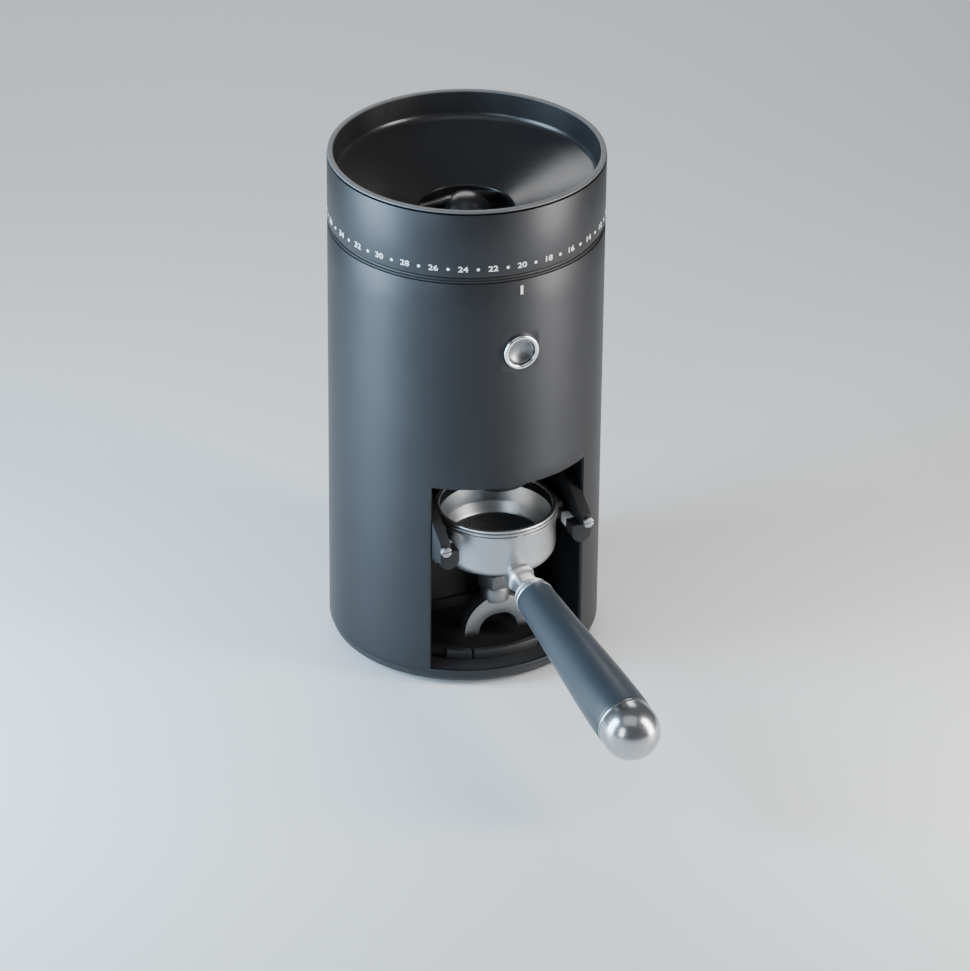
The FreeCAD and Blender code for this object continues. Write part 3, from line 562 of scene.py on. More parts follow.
def second_finish(piece: Piece, finish: Finish, wanted: Callable[[Vector, Vector], bool]) -> None:
    """Give some faces of a dressed piece a second finish.

    Args:
        piece: the piece, already dressed.
        finish: the second finish.
        wanted: says of a face's middle, in millimetres, and its normal whether it takes the finish.
    """
    piece.data.materials.append(finish.material())
    chosen = [face for face in piece.data.polygons if wanted(face.center / MM, face.normal)]
    for face in chosen:
        face.material_index = len(piece.data.materials) - 1
    log.info("%s: %d faces take %s", piece.name, len(chosen), finish.name)


def attach(piece: Piece, body: str, finish: Finish, *stands_for: str) -> Piece:
    """Give a new piece its finish and body, and hide the CAD nodes that it stands for.

    Args:
        piece: the finished piece.
        body: the CAD body that it rides on.
        finish: its finish.
        stands_for: CAD nodes that it replaces.

    Returns:
        The same piece.
    """
    piece.data.materials.clear()
    piece.data.materials.append(finish.material())
    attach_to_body(piece, body)
    if stands_for:
        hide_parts(*stands_for)
    log.info("%s on %s, %d faces", piece.name, body, len(piece.data.polygons))
    return piece


def dress_node(node: str, finish: Finish) -> None:
    """Give a CAD node that stays its finish.

    Args:
        node: the node's name.
        finish: its finish.
    """
    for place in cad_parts[node].material_slots:
        place.material = finish.material()


# --- housing
@dataclass
class Housing:
    """The shell, base, foot and collar: what stands on the worktop."""

    shell: Extent = field(default_factory=lambda: Extent.of("outer_shell"))
    base: Extent = field(default_factory=lambda: Extent.of("base_plate"))
    foot: Extent = field(default_factory=lambda: Extent.of("foot_ring"))
    collar: Extent = field(default_factory=lambda: Extent.of("top_collar"))
    inlet: Extent = field(default_factory=lambda: Extent.of("power_inlet"))
    wall: float = 2.0
    floor_height: float = 11.4
    window_half: float = 45.1
    window_top: float = 125.8
    foot_width: float = 6.0
    button_height: float = 207.6
    mark_bottom: float = 241.9
    mark_size: tuple[float, float] = (1.5, 5.3)

    def build(self) -> None:
        """Make and dress every piece of the housing."""
        attach(self.make_shell(), "housing", FINISHES.anodised, "outer_shell")
        attach(self.make_base(), "housing", FINISHES.moulded, "base_plate")
        attach(self.make_foot(), "housing", FINISHES.rubber, "foot_ring")
        # Painted shade: the collar band takes the near-black shade finish to stand for the shadow in the gap
        # under the ring.
        attach(self.make_collar(), "housing", FINISHES.shade, "top_collar")
        attach(self.make_mark(), "housing", FINISHES.print)
        attach(from_design("inlet_socket", "power_inlet", 0.4), "housing", FINISHES.moulded, "power_inlet")

    def make_shell(self) -> Piece:
        """The tube with its bay window, button hole and inlet opening."""
        deselect()
        middle, depth = self.shell.middle.z * MM, (self.shell.high.z - self.shell.low.z) * MM
        bpy.ops.mesh.primitive_cylinder_add(vertices=256, radius=self.shell.radius * MM, depth=depth,
                                            end_fill_type="NOTHING", location=(0, 0, middle))
        piece = named("shell_tube")
        apply_place(piece)
        cuts = [((x, 0, 0), (1, 0, 0)) for x in (-self.window_half, self.window_half)]
        levels = [self.button_height + 12.5 * i for i in (-6, -4, -2, -1, 1, 2)]
        levels += [self.inlet.low.z - 2.0, self.inlet.high.z + 2.0, self.inlet.high.z + 20.0]
        cuts += [((0, 0, z), (0, 0, 1)) for z in (self.floor_height, self.window_top, *levels)]
        with editing(piece):
            for place, normal in cuts:
                bpy.ops.mesh.select_all(action="SELECT")
                bpy.ops.mesh.bisect(plane_co=[v * MM for v in place], plane_no=normal)
            bpy.ops.mesh.select_all(action="DESELECT")
        for face in piece.data.polygons:
            x, y, z = face.center / MM
            inside = abs(x) < self.window_half and self.floor_height < z < self.window_top
            face.select = inside and y < 0
        hold(piece)
        bpy.ops.object.mode_set(mode="EDIT")
        bpy.ops.mesh.delete(type="FACE")
        bpy.ops.object.mode_set(mode="OBJECT")
        apply_modifier(piece, "SOLIDIFY", thickness=self.wall * MM, offset=-1.0, use_even_offset=True)
        carve(piece, self._button_tool())
        carve(piece, block("inlet_tool", (self.inlet.low.x, 60, self.inlet.low.z),
                           (self.inlet.high.x, 80, self.inlet.high.z), 0))
        return break_edges(piece, 0.4)

    def _button_tool(self) -> Piece:
        """The round punch for the button's hole."""
        bezel = Extent.of("button_bezel")
        hole = Extent.of("microswitch").radius
        deselect()
        bpy.ops.mesh.primitive_cylinder_add(vertices=96, radius=hole * MM, depth=30 * MM,
                                            location=(0, bezel.middle.y * MM, self.button_height * MM),
                                            rotation=(math.pi / 2, 0, 0))
        return named("button_tool")

    def make_base(self) -> Piece:
        """The base disc with its undercut foot, bead and bay floor."""
        rim, under = self.base.radius, self.base.low.z
        inner = self.shell.radius - self.wall
        foot_out = self.foot.radius
        foot_in = foot_out - self.foot_width
        groove = self.foot.high.z
        outline = [(0.4, under), (foot_in, under), (foot_in, groove), (foot_out, groove), (foot_out, under),
                   (rim - 3.3, under), (rim - 0.7, 4.1), (rim, 5.3), (rim, self.shell.low.z - 0.1),
                   (inner - 0.05, self.shell.low.z - 0.1), (inner - 0.05, self.floor_height),
                   (0.4, self.floor_height)]
        return lathe("base_disc", outline, 0.35, loop=False)

    def make_foot(self) -> Piece:
        """The rubber ring, with two shallow grooves in its tread."""
        out, high = self.foot.radius, self.foot.high.z
        inn = out - self.foot_width
        outline = [(inn, 0.0), (inn + 1.4, 0.0), (inn + 1.7, 0.5), (inn + 2.1, 0.5), (inn + 2.4, 0.0),
                   (out - 2.4, 0.0), (out - 2.1, 0.5), (out - 1.7, 0.5), (out - 1.4, 0.0), (out, 0.0),
                   (out, high), (inn, high)]
        return lathe("foot_tread", outline, 0.2)

    def make_collar(self) -> Piece:
        """The band between the shell and the adjusting ring."""
        rim, top, seat = self.collar.radius, self.collar.high.z, self.shell.high.z
        outline = [(61.0, self.collar.low.z), (self.shell.radius - self.wall, self.collar.low.z),
                   (self.shell.radius - self.wall, seat), (rim, seat), (rim, seat + 1.1),
                   (rim - 1.0, seat + 1.5), (rim - 1.0, top), (61.0, top)]
        return lathe("collar_band", outline, 0.2)

    def make_mark(self) -> Piece:
        """The printed line that the dial is read against."""
        wide, high = self.mark_size
        front = -self.shell.radius
        piece = block("pointer_mark", (-wide / 2, front - 0.05, self.mark_bottom),
                      (wide / 2, front + 0.3, self.mark_bottom + high), 0)
        return break_edges(piece, 0.12)


# --- start button
@dataclass
class StartButton:
    """The bright trim ring and the dished button inside it."""

    bezel: Extent = field(default_factory=lambda: Extent.of("button_bezel"))
    cap: Extent = field(default_factory=lambda: Extent.of("start_button"))
    guide_radius: float = 7.6
    dish: float = 1.3

    def build(self) -> None:
        """Make and dress the trim and the button."""
        attach(self.make_trim(), "housing", FINISHES.trim, "button_bezel")
        attach(self.make_cap(), "button", FINISHES.button, "start_button")

    def _facing(self, piece: Piece) -> Piece:
        """Lay a piece that was turned upright on the button's level axis."""
        return turn_onto(piece, Vector((0, 0, self.cap.middle.z * MM)), Vector((0, -1, 0)))

    def make_trim(self) -> Piece:
        """A rounded ring with a sleeve behind it."""
        hole = Extent.of("microswitch").radius
        crown = (hole + self.guide_radius) / 2
        half = (hole - self.guide_radius) / 2
        face = -self.bezel.low.y - half
        back = -self.bezel.high.y
        outline = [(self.guide_radius, back), (hole, back)] + arc((crown, face), half, 0, 180, 10)
        return self._facing(lathe("button_trim", outline, 0.0, steps=96))

    def make_cap(self) -> Piece:
        """A dished cap with a fine rim and a stem."""
        edge, front, back = self.cap.radius, -self.cap.low.y, -self.cap.high.y
        dish = [(edge - 0.8 - i * 0.54, front - self.dish * (1 - (1 - i / 12) ** 2)) for i in range(1, 12)]
        outline = [(0.3, back), (2.4, back), (2.4, back + 2.3), (edge, back + 2.3), (edge, front - 0.25),
                   (edge - 0.25, front), (edge - 0.8, front)] + dish + [(0.3, front - self.dish)]
        return self._facing(lathe("button_cap", outline, 0.08, loop=False, steps=96))


# --- adjusting head
@dataclass
class AdjustingHead:
    """The turning ring with its dial, the bean funnel and the finger guard."""

    ring: Extent = field(default_factory=lambda: Extent.of("adjust_ring"))
    funnel: Extent = field(default_factory=lambda: Extent.of("hopper"))
    guard: Extent = field(default_factory=lambda: Extent.of("hub_guard"))
    ring_wall: float = 2.4
    numbers: range = range(0, 41)
    rest_number: int = 20
    step_degrees: float = 6.1
    number_height: float = 259.3
    digit_size: float = 4.5
    dot_radius: float = 0.85
    arm_angle: float = 30.0

    def build(self) -> None:
        """Make and dress every piece of the head."""
        attach(self.make_ring(), "adjusting_head", FINISHES.anodised, "adjust_ring")
        attach(self.make_dial(), "adjusting_head", FINISHES.print)
        funnel = attach(self.make_funnel(), "adjusting_head", FINISHES.funnel, "hopper")
        second_finish(funnel, FINISHES.lip, lambda middle, normal: middle.z > self.funnel.high.z - 0.8)
        attach(self.make_guard(), "adjusting_head", FINISHES.funnel, "hub_guard")

    def make_ring(self) -> Piece:
        """The outer ring."""
        out, inn = self.ring.radius, self.ring.radius - self.ring_wall
        low, high = self.ring.low.z, self.ring.high.z
        return lathe("dial_ring", [(inn, low), (out, low), (out, high), (inn, high)], 0.35, steps=256)

    def make_dial(self) -> Piece:
        """The printed even numbers and the dots between them."""
        labels = []
        for number in self.numbers:
            angle = -(number - self.rest_number) * self.step_degrees
            label = self._dot() if number % 2 else self._digits(str(number))
            label.matrix_world = Matrix.Rotation(math.radians(angle), 4, "Z") @ label.matrix_world
            apply_place(label)
            labels.append(label)
        return combine("dial_numbers", labels)

    def _upright(self, piece: Piece) -> None:
        """Stand a flat label on the ring's front, a hair proud of it."""
        front = Vector((0, -(self.ring.radius + 0.02) * MM, self.number_height * MM))
        piece.matrix_world = Matrix.Translation(front) @ Matrix.Rotation(math.pi / 2, 4, "X")

    def _dot(self) -> Piece:
        """One round dot."""
        deselect()
        bpy.ops.mesh.primitive_cylinder_add(vertices=20, radius=self.dot_radius * MM, depth=0.06 * MM)
        piece = named("dot")
        self._upright(piece)
        return piece

    def _digits(self, text: str) -> Piece:
        """One printed number, widened a little."""
        deselect()
        bpy.ops.object.text_add()
        letters = bpy.context.object
        letters.data.body = text
        letters.data.align_x = "CENTER"
        letters.data.align_y = "CENTER"
        letters.data.size = self.digit_size * MM
        letters.data.extrude = 0.03 * MM
        letters.data.offset = 0.04 * MM
        letters.data.resolution_u = 3
        hold(letters)
        bpy.ops.object.convert(target="MESH")
        piece = named("digits")
        with editing(piece):
            bpy.ops.mesh.remove_doubles(threshold=0.000001)
            bpy.ops.transform.resize(value=(1.22, 1.0, 1.0), center_override=(0, 0, 0))
        self._upright(piece)
        return piece

    def make_funnel(self) -> Piece:
        """Rolled lip, steep wall, wide fillet, shallow cone and throat."""
        lip, top = self.funnel.radius, self.funnel.high.z
        wall_top, throat, throat_end = 71.6, 25.5, 246.5
        fillet = arc((65.6, 282.0), 5.6, -12, -66, 10)
        slope = (fillet[-1][1] - 258.6) / (fillet[-1][0] - throat)
        mouth = arc((throat + 1.6, 257.6), 1.6, 90 + math.degrees(math.atan(slope)) * 0.9, 180, 4)
        inside = arc((wall_top + 0.55, top - 0.55), 0.55, 90, 180, 4) + fillet + mouth
        under = [(throat, throat_end), (27.9, throat_end), (27.9, 256.4), (67.4, 273.2), (70.9, 275.6),
                 (72.5, 279.4), (72.5, top - 1.0)]
        rim = [(lip, top - 1.0), (lip, top - 0.5)] + arc((lip - 0.5, top - 0.5), 0.5, 0, 90, 4)
        return lathe("bean_funnel", rim + inside + under, 0.0, steps=256)

    def make_guard(self) -> Piece:
        """A domed hub on three arms that run down to the throat's wall."""
        top, low = self.guard.high.z, self.guard.high.z - 10.7
        crown = [(0.6, top), (3.0, top - 0.1), (5.2, top - 0.55), (7.4, top - 1.5), (9.3, top - 3.1),
                 (11.2, top - 5.3), (13.0, top - 7.9), (14.2, top - 9.9), (14.4, low)]
        hub = lathe("hub", [(0.6, low)] + crown[::-1], 0.0, loop=False, steps=96)
        arms = [self._arm(self.arm_angle + 120 * i) for i in range(3)]
        return combine("finger_guard", [hub] + arms)

    def _arm(self, angle: float) -> Piece:
        """One arm, drawn out from inside the hub to the throat's wall.

        Args:
            angle: the arm's direction about the upright axis, in degrees.

        Returns:
            The arm.
        """
        top, high = self.guard.high.z, 5.4
        ridge = ((6.0, 1.9, 7.6), (10.0, 2.6, 7.2), (14.0, 4.2, 6.8), (18.0, 6.0, 6.5), (22.0, 7.6, 6.4),
                 (25.45, 8.6, 6.4))
        stations = [(reach, -drop - high / 2, wide, high) for reach, drop, wide in ridge]
        turn = math.radians(angle)
        return turn_onto(drawn_bar("arm", stations, 2.2, 6), Vector((0, 0, top)) * MM,
                         Vector((math.cos(turn), math.sin(turn), 0)))


# --- bay and fork
@dataclass
class DockingBay:
    """What shows inside the bay: liner, floor wall, outlet, rail and the removable fork."""

    outlet: Extent = field(default_factory=lambda: Extent.of("chute_spout"))

    def build(self) -> None:
        """Make and dress every piece of the bay."""
        # The liner, rail and fork take the darker bay finish, which is painted shade for the recess they sit
        # in.
        attach(from_design("bay_walls", "bay_liner", 0.5), "housing", FINISHES.bay, "bay_liner")
        attach(from_design("cup_wall", "cup_locator", 0.6), "housing", FINISHES.moulded, "cup_locator")
        attach(from_design("fork_rail", "holder_rail", 0.4), "housing", FINISHES.bay, "holder_rail")
        attach(self.make_outlet(), "housing", FINISHES.moulded, "chute_spout")
        attach(from_design("fork", "holder_bracket", 0.7, 3), "holder", FINISHES.bay, "holder_bracket")
        attach(from_design("fork_pads", "holder_pads", 0.5), "holder", FINISHES.pad, "holder_pads")
        attach(from_design("fork_screws", "holder_screws", 0.35), "holder", FINISHES.steel, "holder_screws")

    def make_outlet(self) -> Piece:
        """The flared outlet above the basket."""
        out, low, high = self.outlet.radius, self.outlet.low.z, self.outlet.high.z
        outline = [(12.0, high), (out, high), (out, low + 4.2), (out - 0.8, low + 2.0), (out - 2.4, low),
                   (out - 4.5, low), (out - 4.5, low + 6.0)]
        centre = (self.outlet.middle.x, self.outlet.middle.y)
        return lathe("grounds_outlet", outline, 0.4, steps=96, centre=centre)


# --- portafilter
@dataclass
class Portafilter:
    """The docked filter holder: cup, basket, spouts and handle."""

    cup: Extent = field(default_factory=lambda: Extent.of("portafilter_body"))
    basket: Extent = field(default_factory=lambda: Extent.of("filter_basket"))
    spout: Extent = field(default_factory=lambda: Extent.of("double_spout"))
    rod: Extent = field(default_factory=lambda: Extent.of("handle_rod"))
    ball: Extent = field(default_factory=lambda: Extent.of("end_ball"))
    cup_radius: float = 33.0
    flange_radius: float = 34.3
    cup_bottom: float = 68.0
    flange_height: float = 95.0
    stem_radius: float = 8.5
    hole_pitch: float = 2.6
    hole_radius: float = 0.42
    spout_depth: float = 10.4
    spout_reach: float = 20.0
    spout_thick: tuple[float, float] = (11.6, 8.6)
    ball_radius: float = 15.7
    grip_length: float = 117.5
    knob_reach: float = 125.3

    def build(self) -> None:
        """Make and dress every piece of the portafilter."""
        body = "portafilter"
        attach(self.make_cup(), body, FINISHES.satin, "portafilter_body")
        basket = attach(self.make_basket(), body, FINISHES.polished, "filter_basket")
        second_finish(basket, FINISHES.pressed, self.is_floor)
        # Painted shade: the straight band inside the basket's rim is coloured near black.
        second_finish(basket, FINISHES.blued, self.is_upper_wall)
        attach(self.make_holes(), body, FINISHES.shadow)
        attach(self.make_spout(), body, FINISHES.spout, "double_spout")
        # Painted shade: the nut takes the darkened steel so it sits in shadow under the cup.
        attach(from_design("stem_nut", "spout_nut", 0.5), body, FINISHES.dull, "spout_nut")
        attach(self.make_neck(), body, FINISHES.bright, "handle_neck")
        attach(self.make_collar(), body, FINISHES.bright, "handle_collar")
        attach(self.make_grip(), body, FINISHES.grip, "handle_grip")
        attach(self.make_ball(), body, FINISHES.chrome, "end_ball")

    @property
    def axis(self) -> tuple[float, float]:
        """The basket's X and Y."""
        return self.basket.middle.x, self.basket.middle.y

    def make_cup(self) -> Piece:
        """The turned cup with its grooved rim, ears and spout stem."""
        out, rim, low, seat = self.cup_radius, self.flange_radius, self.cup_bottom, self.flange_height
        top, wall = self.cup.high.z, self.cup_radius - 1.1
        outline = ([(4.5, low + 2.6), (4.5, self.cup.low.z), (self.stem_radius - 0.6, self.cup.low.z),
                    (self.stem_radius, self.cup.low.z + 0.8), (self.stem_radius, low - 3.0)]
                   + arc((self.stem_radius + 3.0, low - 3.0), 3.0, 180, 90, 5)
                   + arc((out - 7.5, low + 7.5), 7.5, -90, 0, 10)
                   + [(out, seat - 1.0), (out + 0.3, seat - 0.7), (rim, seat - 0.7), (rim, seat + 0.35),
                      (out + 0.2, seat + 0.45), (out + 0.2, seat + 1.0), (rim - 0.2, seat + 1.1),
                      (rim - 0.2, top - 0.15), (rim - 0.5, top), (wall, top), (wall, 74.0),
                      (28.0, low + 2.6)])
        cup = lathe("cup", outline, 0.12, steps=192, centre=self.axis)
        carve(cup, block("notch", (-1.7, self.axis[1] - rim - 1, seat - 1.0),
                         (1.7, self.axis[1] - out - 0.3, seat + 1.05), 0))
        ears = [self._ear(side) for side in (-1, 1)]
        return combine("cup_body", [break_edges(cup, 0.0)] + ears)

    def _ear(self, side: int) -> Piece:
        """One locking ear under the rim.

        Args:
            side: -1 for the left ear and 1 for the right.

        Returns:
            The ear.
        """
        reach, tip = self.cup_radius - 0.6, self.cup.radius - 0.15
        low, high = sorted((side * reach, side * tip))
        middle = self.axis[1]
        return block("ear", (low, middle - 7.6, 91.6), (high, middle + 7.6, self.flange_height - 0.02), 0.9)

    def make_basket(self) -> Piece:
        """The tapered basket with its rolled rim."""
        rim, low, high = self.basket.radius, self.basket.low.z, self.basket.high.z
        roll = (high - self.cup.high.z) / 2
        outline = ([(0.4, low), (26.6, low), (27.4, low + 0.6), (31.55, self.cup.high.z)]
                   + [(31.6, self.cup.high.z + 0.1), (32.8, self.cup.high.z + 0.15)]
                   + arc((rim - roll * 0.8, high - roll * 0.8), roll * 0.8, -80, 90, 8)
                   + [(31.9, high), (31.2, high - 0.35), (30.85, high - 1.1), (30.5, low + 14.2),
                      (30.75, low + 13.2), (30.35, low + 12.2), (26.9, low + 1.9),
                      (26.3, low + 1.15), (25.2, low + 0.9), (0.4, low + 0.9)])
        return lathe("basket", outline, 0.0, loop=False, steps=192, centre=self.axis)

    def is_upper_wall(self, middle: Vector, normal: Vector) -> bool:
        """Whether a face of the basket belongs to the straight band inside its rim, the band that is painted
        near black as shade.
        """
        out = Vector((middle.x - self.axis[0], middle.y - self.axis[1]))
        inward = out.x * normal.x + out.y * normal.y < 0
        return inward and self.basket.low.z + 12.4 < middle.z < self.basket.high.z - 1.2

    def is_floor(self, middle: Vector, normal: Vector) -> bool:
        """Whether a face of the basket belongs to its floor."""
        return middle.z < self.basket.low.z + 1.2 and normal.z > 0.7

    def make_holes(self) -> Piece:
        """The basket's filter holes: one small disc, copied over the floor in offset rows."""
        deselect()
        level = self.basket.low.z + 0.93
        bpy.ops.mesh.primitive_cylinder_add(vertices=10, radius=self.hole_radius * MM, depth=0.05 * MM)
        first = named("hole")
        reach, row_gap = 23.0, self.hole_pitch * math.sqrt(3) / 2
        rows, copies = int(reach / row_gap), []
        for row in range(-rows, rows + 1):
            offset = self.hole_pitch / 2 if row % 2 else 0.0
            for column in range(-9, 10):
                x, y = column * self.hole_pitch + offset, row * row_gap
                if math.hypot(x, y) >= reach:
                    continue
                copy = bpy.data.objects.new("hole", first.data.copy())
                bpy.context.scene.collection.objects.link(copy)
                copy.location = ((self.axis[0] + x) * MM, (self.axis[1] + y) * MM, level * MM)
                copies.append(copy)
        bpy.data.objects.remove(first)
        piece = combine("basket_holes", copies)
        apply_place(piece)
        return piece

    def make_spout(self) -> Piece:
        """The forked outlet: a squared arch that thins towards its two tips, under a round boss."""
        bend = Vector((*self.axis, self.spout.high.z - 26.2)) * MM
        halves = [self._half_spout(bend, side) for side in (-1, 1)]
        arch = combine("arch", halves)
        with editing(arch):
            bpy.ops.mesh.remove_doubles(threshold=MERGE_GAP)
            bpy.ops.mesh.select_all(action="DESELECT")
            bpy.ops.mesh.select_mode(type="FACE")
            bpy.ops.mesh.select_interior_faces()
            bpy.ops.mesh.delete(type="FACE")
            bpy.ops.mesh.select_mode(type="VERT")
            close_up()
        carve(arch, self._seam_tool(bend))
        break_edges(arch, 0.35, 2)
        crown = bend.z / MM + self.spout_reach - 3.0
        high = self.spout.high.z
        boss = lathe("boss", [(4.5, crown), (8.2, crown), (8.2, high - 1.6), (7.6, high - 1.2),
                              (7.6, high - 0.6), (8.2, high - 0.3), (8.2, high), (4.5, high)], 0.15, steps=96,
                     centre=self.axis)
        return combine("forked_spout", [arch, boss])

    def _seam_tool(self, bend: Vector) -> Piece:
        """A thin ring that scores the line round the arch's outside, near its front face."""
        reach, half = self.spout_reach, 0.22
        seam = lathe("seam", [(reach - 0.5, -half), (reach + 2, -half), (reach + 2, half), (reach - 0.5, half)],
                     0.0, steps=96)
        return turn_onto(seam, bend + Vector((0, -self.spout_depth * 0.27 * MM, 0)), Vector((0, -1, 0)))

    def _half_spout(self, bend: Vector, side: int) -> Piece:
        """One arm of the spout, drawn out step by step from the crown to its tip.

        Args:
            bend: the arch's centre, in metres.
            side: -1 for the left arm and 1 for the right.

        Returns:
            The arm.
        """
        deselect()
        thick, thin = self.spout_thick
        reach = self.spout_reach * MM
        middle = bend + Vector((0, 0, reach - thick / 2 * MM))
        bpy.ops.mesh.primitive_plane_add(size=1, location=middle, rotation=(0, math.pi / 2, 0))
        piece = named("spout_arm")
        apply_place(piece)
        steps = 16
        turn = math.radians(92 / steps)
        with editing(piece):
            bpy.ops.transform.resize(value=(1, self.spout_depth * MM, thick * MM), center_override=middle)
            for step in range(1, steps + 1):
                bpy.ops.mesh.extrude_region_move()
                bpy.ops.transform.rotate(value=-turn * side, orient_axis="Y", center_override=bend)
                angle = step * turn
                edge = bend + Vector((side * math.sin(angle), 0, math.cos(angle))) * reach
                share = (thick + (thin - thick) * step / steps) / (thick + (thin - thick) * (step - 1) / steps)
                bpy.ops.transform.resize(value=(share, 1, share), center_override=edge)
            tip = bend + Vector((side * (self.spout_reach - thin / 2) * MM, 0, 0))
            for drop, share in ((-1.4, 0.96), (-1.2, 0.84), (self.spout.low.z - bend.z / MM + 2.6, 0.62)):
                bpy.ops.mesh.extrude_region_move(TRANSFORM_OT_translate={"value": (0, 0, drop * MM)})
                bpy.ops.transform.resize(value=(share, share, 1), center_override=tip)
            close_up()
        return piece

    @property
    def handle_line(self) -> tuple[Vector, Vector]:
        """The grip's start on the handle's centre line, in metres, and the line's direction."""
        knob = Vector((0, self.ball.low.y + self.ball_radius, self.ball.low.z + self.ball_radius)) * MM
        along = (knob - self.rod.middle * MM).normalized()
        return knob - along * self.knob_reach * MM, along

    def _on_handle(self, piece: Piece) -> Piece:
        """Lay a piece that was turned upright on the handle's line."""
        start, along = self.handle_line
        return turn_onto(piece, start, along)

    def make_neck(self) -> Piece:
        """The squared neck: flared where it leaves the cup, with a raised shoulder before the collar."""
        stations = ((-30.4, 2.6, 17.0, 10.6), (-28.4, 1.6, 14.8, 10.6), (-25.8, 0.6, 13.2, 10.8),
                    (-22.6, 0.2, 12.6, 11.0), (-21.6, 0.2, 13.6, 12.2), (-20.9, 0.2, 14.4, 13.2),
                    (-18.9, 0.2, 14.4, 13.2), (-18.2, 0.2, 13.4, 12.2), (-16.6, 0.2, 12.4, 11.0),
                    (-12.5, 0.2, 12.4, 11.0), (-9.6, 0.1, 13.6, 12.6), (-7.4, 0.0, 14.6, 14.2))
        return self._on_handle(drawn_bar("neck_bar", stations, 3.8, 8))

    def make_collar(self) -> Piece:
        """The chrome collar between neck and grip: a cone with a fine groove and a rolled edge."""
        outline = [(0.5, -7.5), (8.4, -7.5), (8.9, -7.0), (9.9, -5.6), (10.15, -4.4), (9.9, -4.2), (9.9, -3.8),
                   (10.3, -3.6), (10.8, -1.4), (10.95, -0.7), (10.8, -0.05), (0.5, -0.05)]
        return self._on_handle(lathe("grip_collar", outline, 0.12, loop=False, steps=128))

    def make_grip(self) -> Piece:
        """The soft grip, slim at the collar and full at the knob."""
        last = self.grip_length
        swell = eased(((0.6, 10.85), (28.0, 12.0), (56.0, 13.5), (86.0, 15.1), (108.0, 15.85),
                       (last - 0.7, 15.8)), 7)
        outline = [(0.5, 0.0), (10.45, 0.0), (10.72, 0.2)] + swell + [(15.6, last - 0.2), (15.3, last),
                                                                     (0.5, last)]
        return self._on_handle(lathe("grip_sleeve", outline, 0.0, loop=False, steps=160))

    def make_ball(self) -> Piece:
        """The polished knob, with a thin bright ring where it meets the grip."""
        first, middle, full = self.grip_length, self.knob_reach, self.ball_radius
        band = [(0.5, first), (15.2, first), (15.6, first + 0.2), (full, first + 0.9), (15.55, first + 1.3),
                (15.2, first + 1.4), (15.2, first + 1.8), (15.5, first + 1.9)]
        cap = arc((0.0, middle - 0.6), full, 0, 88, 44)
        knob = lathe("handle_knob", band + [(full - 0.02, first + 2.5)] + cap, 0.0, loop=False, steps=160)
        return self._on_handle(knob)


# --- inner works
@dataclass
class InnerWorks:
    """The CAD nodes that stay: drive, burrs, electrics and fasteners."""

    plan: dict[str, tuple[str, ...]] = field(default_factory=lambda: {
        "steel": ("base_screws", "frame_rods", "frame_screws", "motor_can", "lower_bearing", "upper_bearing",
                  "ring_posts", "upper_burr_screws", "lower_burr_screws", "drive_shaft",
                  "motor_shaft", "basket_clip", "handle_rod"),
        "cast": ("deck_plate", "motor_plate", "grind_chamber", "upper_burr_carrier", "lower_burr_carrier"),
        "moulded": ("gear_cover", "motor_end_bell", "grounds_chute", "board_parts", "microswitch",
                    "ring_flange"),
        "burr": ("upper_burr", "lower_burr", "feed_auger"),
        "brass": ("inlet_pins", "motor_pinion"),
        "nylon": ("glide_ring", "drive_gear"),
        "board": ("control_board",),
        "ferrite": ("motor_magnets", "motor_rotor"),
        "rubber": ("button_bellows",),
    })

    def build(self) -> None:
        """Dress every node in the plan."""
        for finish, nodes in self.plan.items():
            for node in nodes:
                dress_node(node, getattr(FINISHES, finish))
            log.info("%s: %s", finish, ", ".join(nodes))


# --- studio
@dataclass(frozen=True)
class Lamp:
    """One soft rectangular light: where it stands and its size in metres, its power and its colour."""

    name: str
    place: tuple[float, float, float]
    wide: float
    high: float
    power: float
    tint: tuple[float, float, float] = CLEAR_WHITE

    def light_up(self, aim_height: float) -> None:
        """Stand the light in the scene, aimed at the grinder.

        Args:
            aim_height: the greatest height that it aims at, in metres.
        """
        lamp = bpy.data.lights.new(self.name, "AREA")
        lamp.shape = "RECTANGLE"
        lamp.size, lamp.size_y, lamp.energy, lamp.color = self.wide, self.high, self.power, self.tint
        stand = bpy.data.objects.new(self.name, lamp)
        bpy.context.scene.collection.objects.link(stand)
        stand.location = self.place
        aim = Vector((0, 0, min(self.place[2], aim_height))) - Vector(self.place)
        stand.rotation_euler = aim.to_track_quat("-Z", "Y").to_euler()


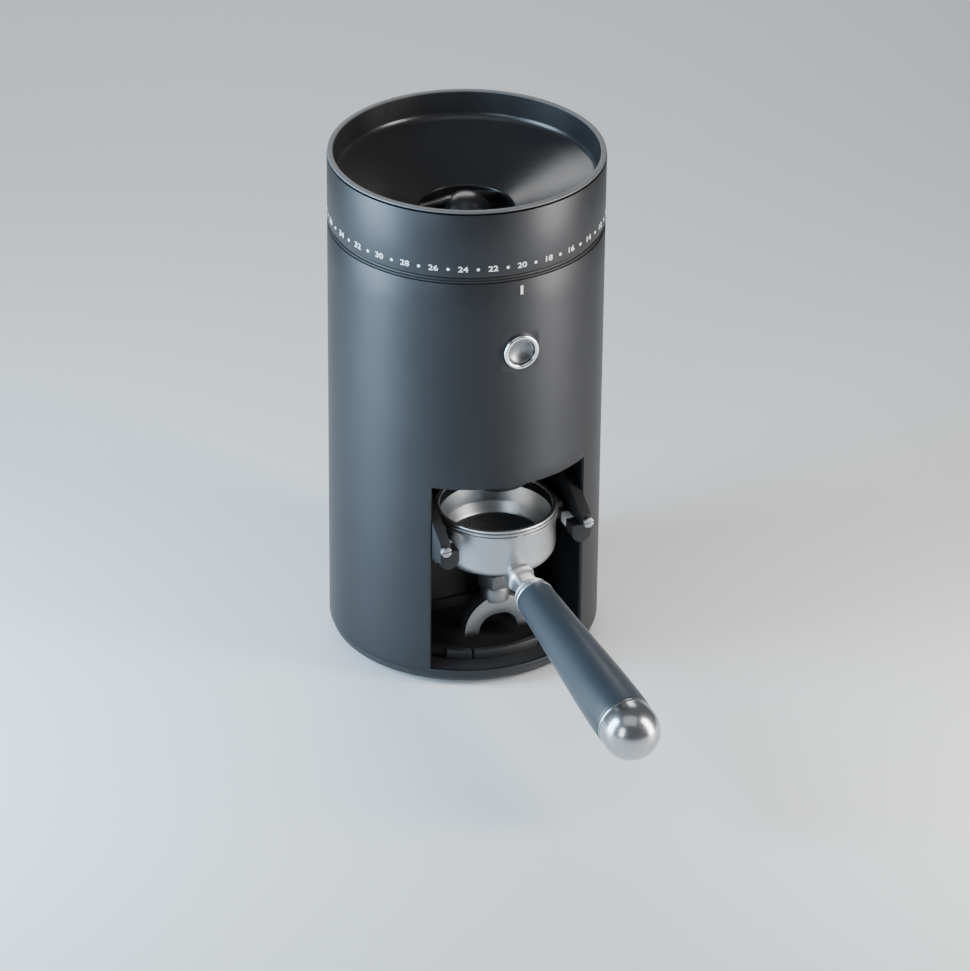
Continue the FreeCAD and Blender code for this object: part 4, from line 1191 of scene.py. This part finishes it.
@dataclass
class Studio:
    """Pale floor, soft lights and the camera."""

    eye: tuple[float, float, float] = (-0.98775, -2.29405, 1.52480)
    focal: float = 192.94
    elevation: float = 29.95
    azimuth: float = -23.56
    roll: float = 0.60
    sensor: float = 36.0
    aim_height: float = 0.24
    lamps: tuple[Lamp, ...] = (
        Lamp("left_strip", (-0.62, 0.05, 0.31), 0.30, 0.60, 15.0, (0.58, 0.80, 1.0)),
        Lamp("right_strip", (0.45, -0.46, 0.31), 0.17, 0.60, 8.0, (1.0, 0.97, 0.93)),
        Lamp("front_left", (-1.0, -0.75, 0.45), 0.34, 0.6, 5.0, (0.70, 0.86, 1.0)),
        Lamp("back_softbox", (0.25, 1.7, 1.25), 1.8, 0.7, 18.0),
        Lamp("overhead", (-0.5, -0.9, 2.6), 2.4, 1.8, 10.0),
    )

    def build(self) -> None:
        """Set up the whole studio."""
        self.make_floor()
        self.make_sky()
        self.make_camera()
        for lamp in self.lamps:
            lamp.light_up(self.aim_height)

    def make_floor(self) -> None:
        """A pale floor that runs past the view."""
        deselect()
        bpy.ops.mesh.primitive_plane_add(size=12.0)
        floor = named("floor")
        pale = Finish("pale_floor", (0.72, 0.72, 0.72), 0.55, grain_mm=2.0, relief_mm=0.02, tone_spread=0.015,
                      patch_mm=900.0)
        floor.data.materials.append(pale.material())

    def make_sky(self) -> None:
        """Dim, even light from all round."""
        world = bpy.data.worlds.new("studio")
        world.use_nodes = True
        world.node_tree.nodes["Background"].inputs["Color"].default_value = SKY_COLOUR
        world.node_tree.nodes["Background"].inputs["Strength"].default_value = SKY_STRENGTH
        bpy.context.scene.world = world

    def make_camera(self) -> None:
        """The long-lens camera, above and to the left of the front."""
        tilt, turn, roll = [math.radians(v) for v in (self.elevation, self.azimuth, self.roll)]
        right = Vector((math.cos(turn), math.sin(turn), 0))
        back = Vector((math.sin(turn) * math.cos(tilt), -math.cos(turn) * math.cos(tilt), math.sin(tilt)))
        up = back.cross(right)
        rolled_right = math.cos(roll) * right + math.sin(roll) * up
        rolled_up = -math.sin(roll) * right + math.cos(roll) * up
        lens = bpy.data.cameras.new("camera")
        lens.lens, lens.sensor_width, lens.clip_end = self.focal, self.sensor, CLIP_END
        camera = bpy.data.objects.new("camera", lens)
        bpy.context.scene.collection.objects.link(camera)
        stance = Matrix((rolled_right, rolled_up, back)).transposed().to_4x4()
        camera.matrix_world = Matrix.Translation(self.eye) @ stance
        bpy.context.scene.camera = camera


def main() -> None:
    """Build every sub-assembly in order and report it."""
    logging.basicConfig(level=logging.INFO, format="%(message)s")
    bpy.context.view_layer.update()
    for assembly in (Studio(), Housing(), StartButton(), AdjustingHead(), DockingBay(), Portafilter(),
                     InnerWorks()):
        log.info("building %s", type(assembly).__name__)
        assembly.build()


if __name__ == "__main__":
    main()
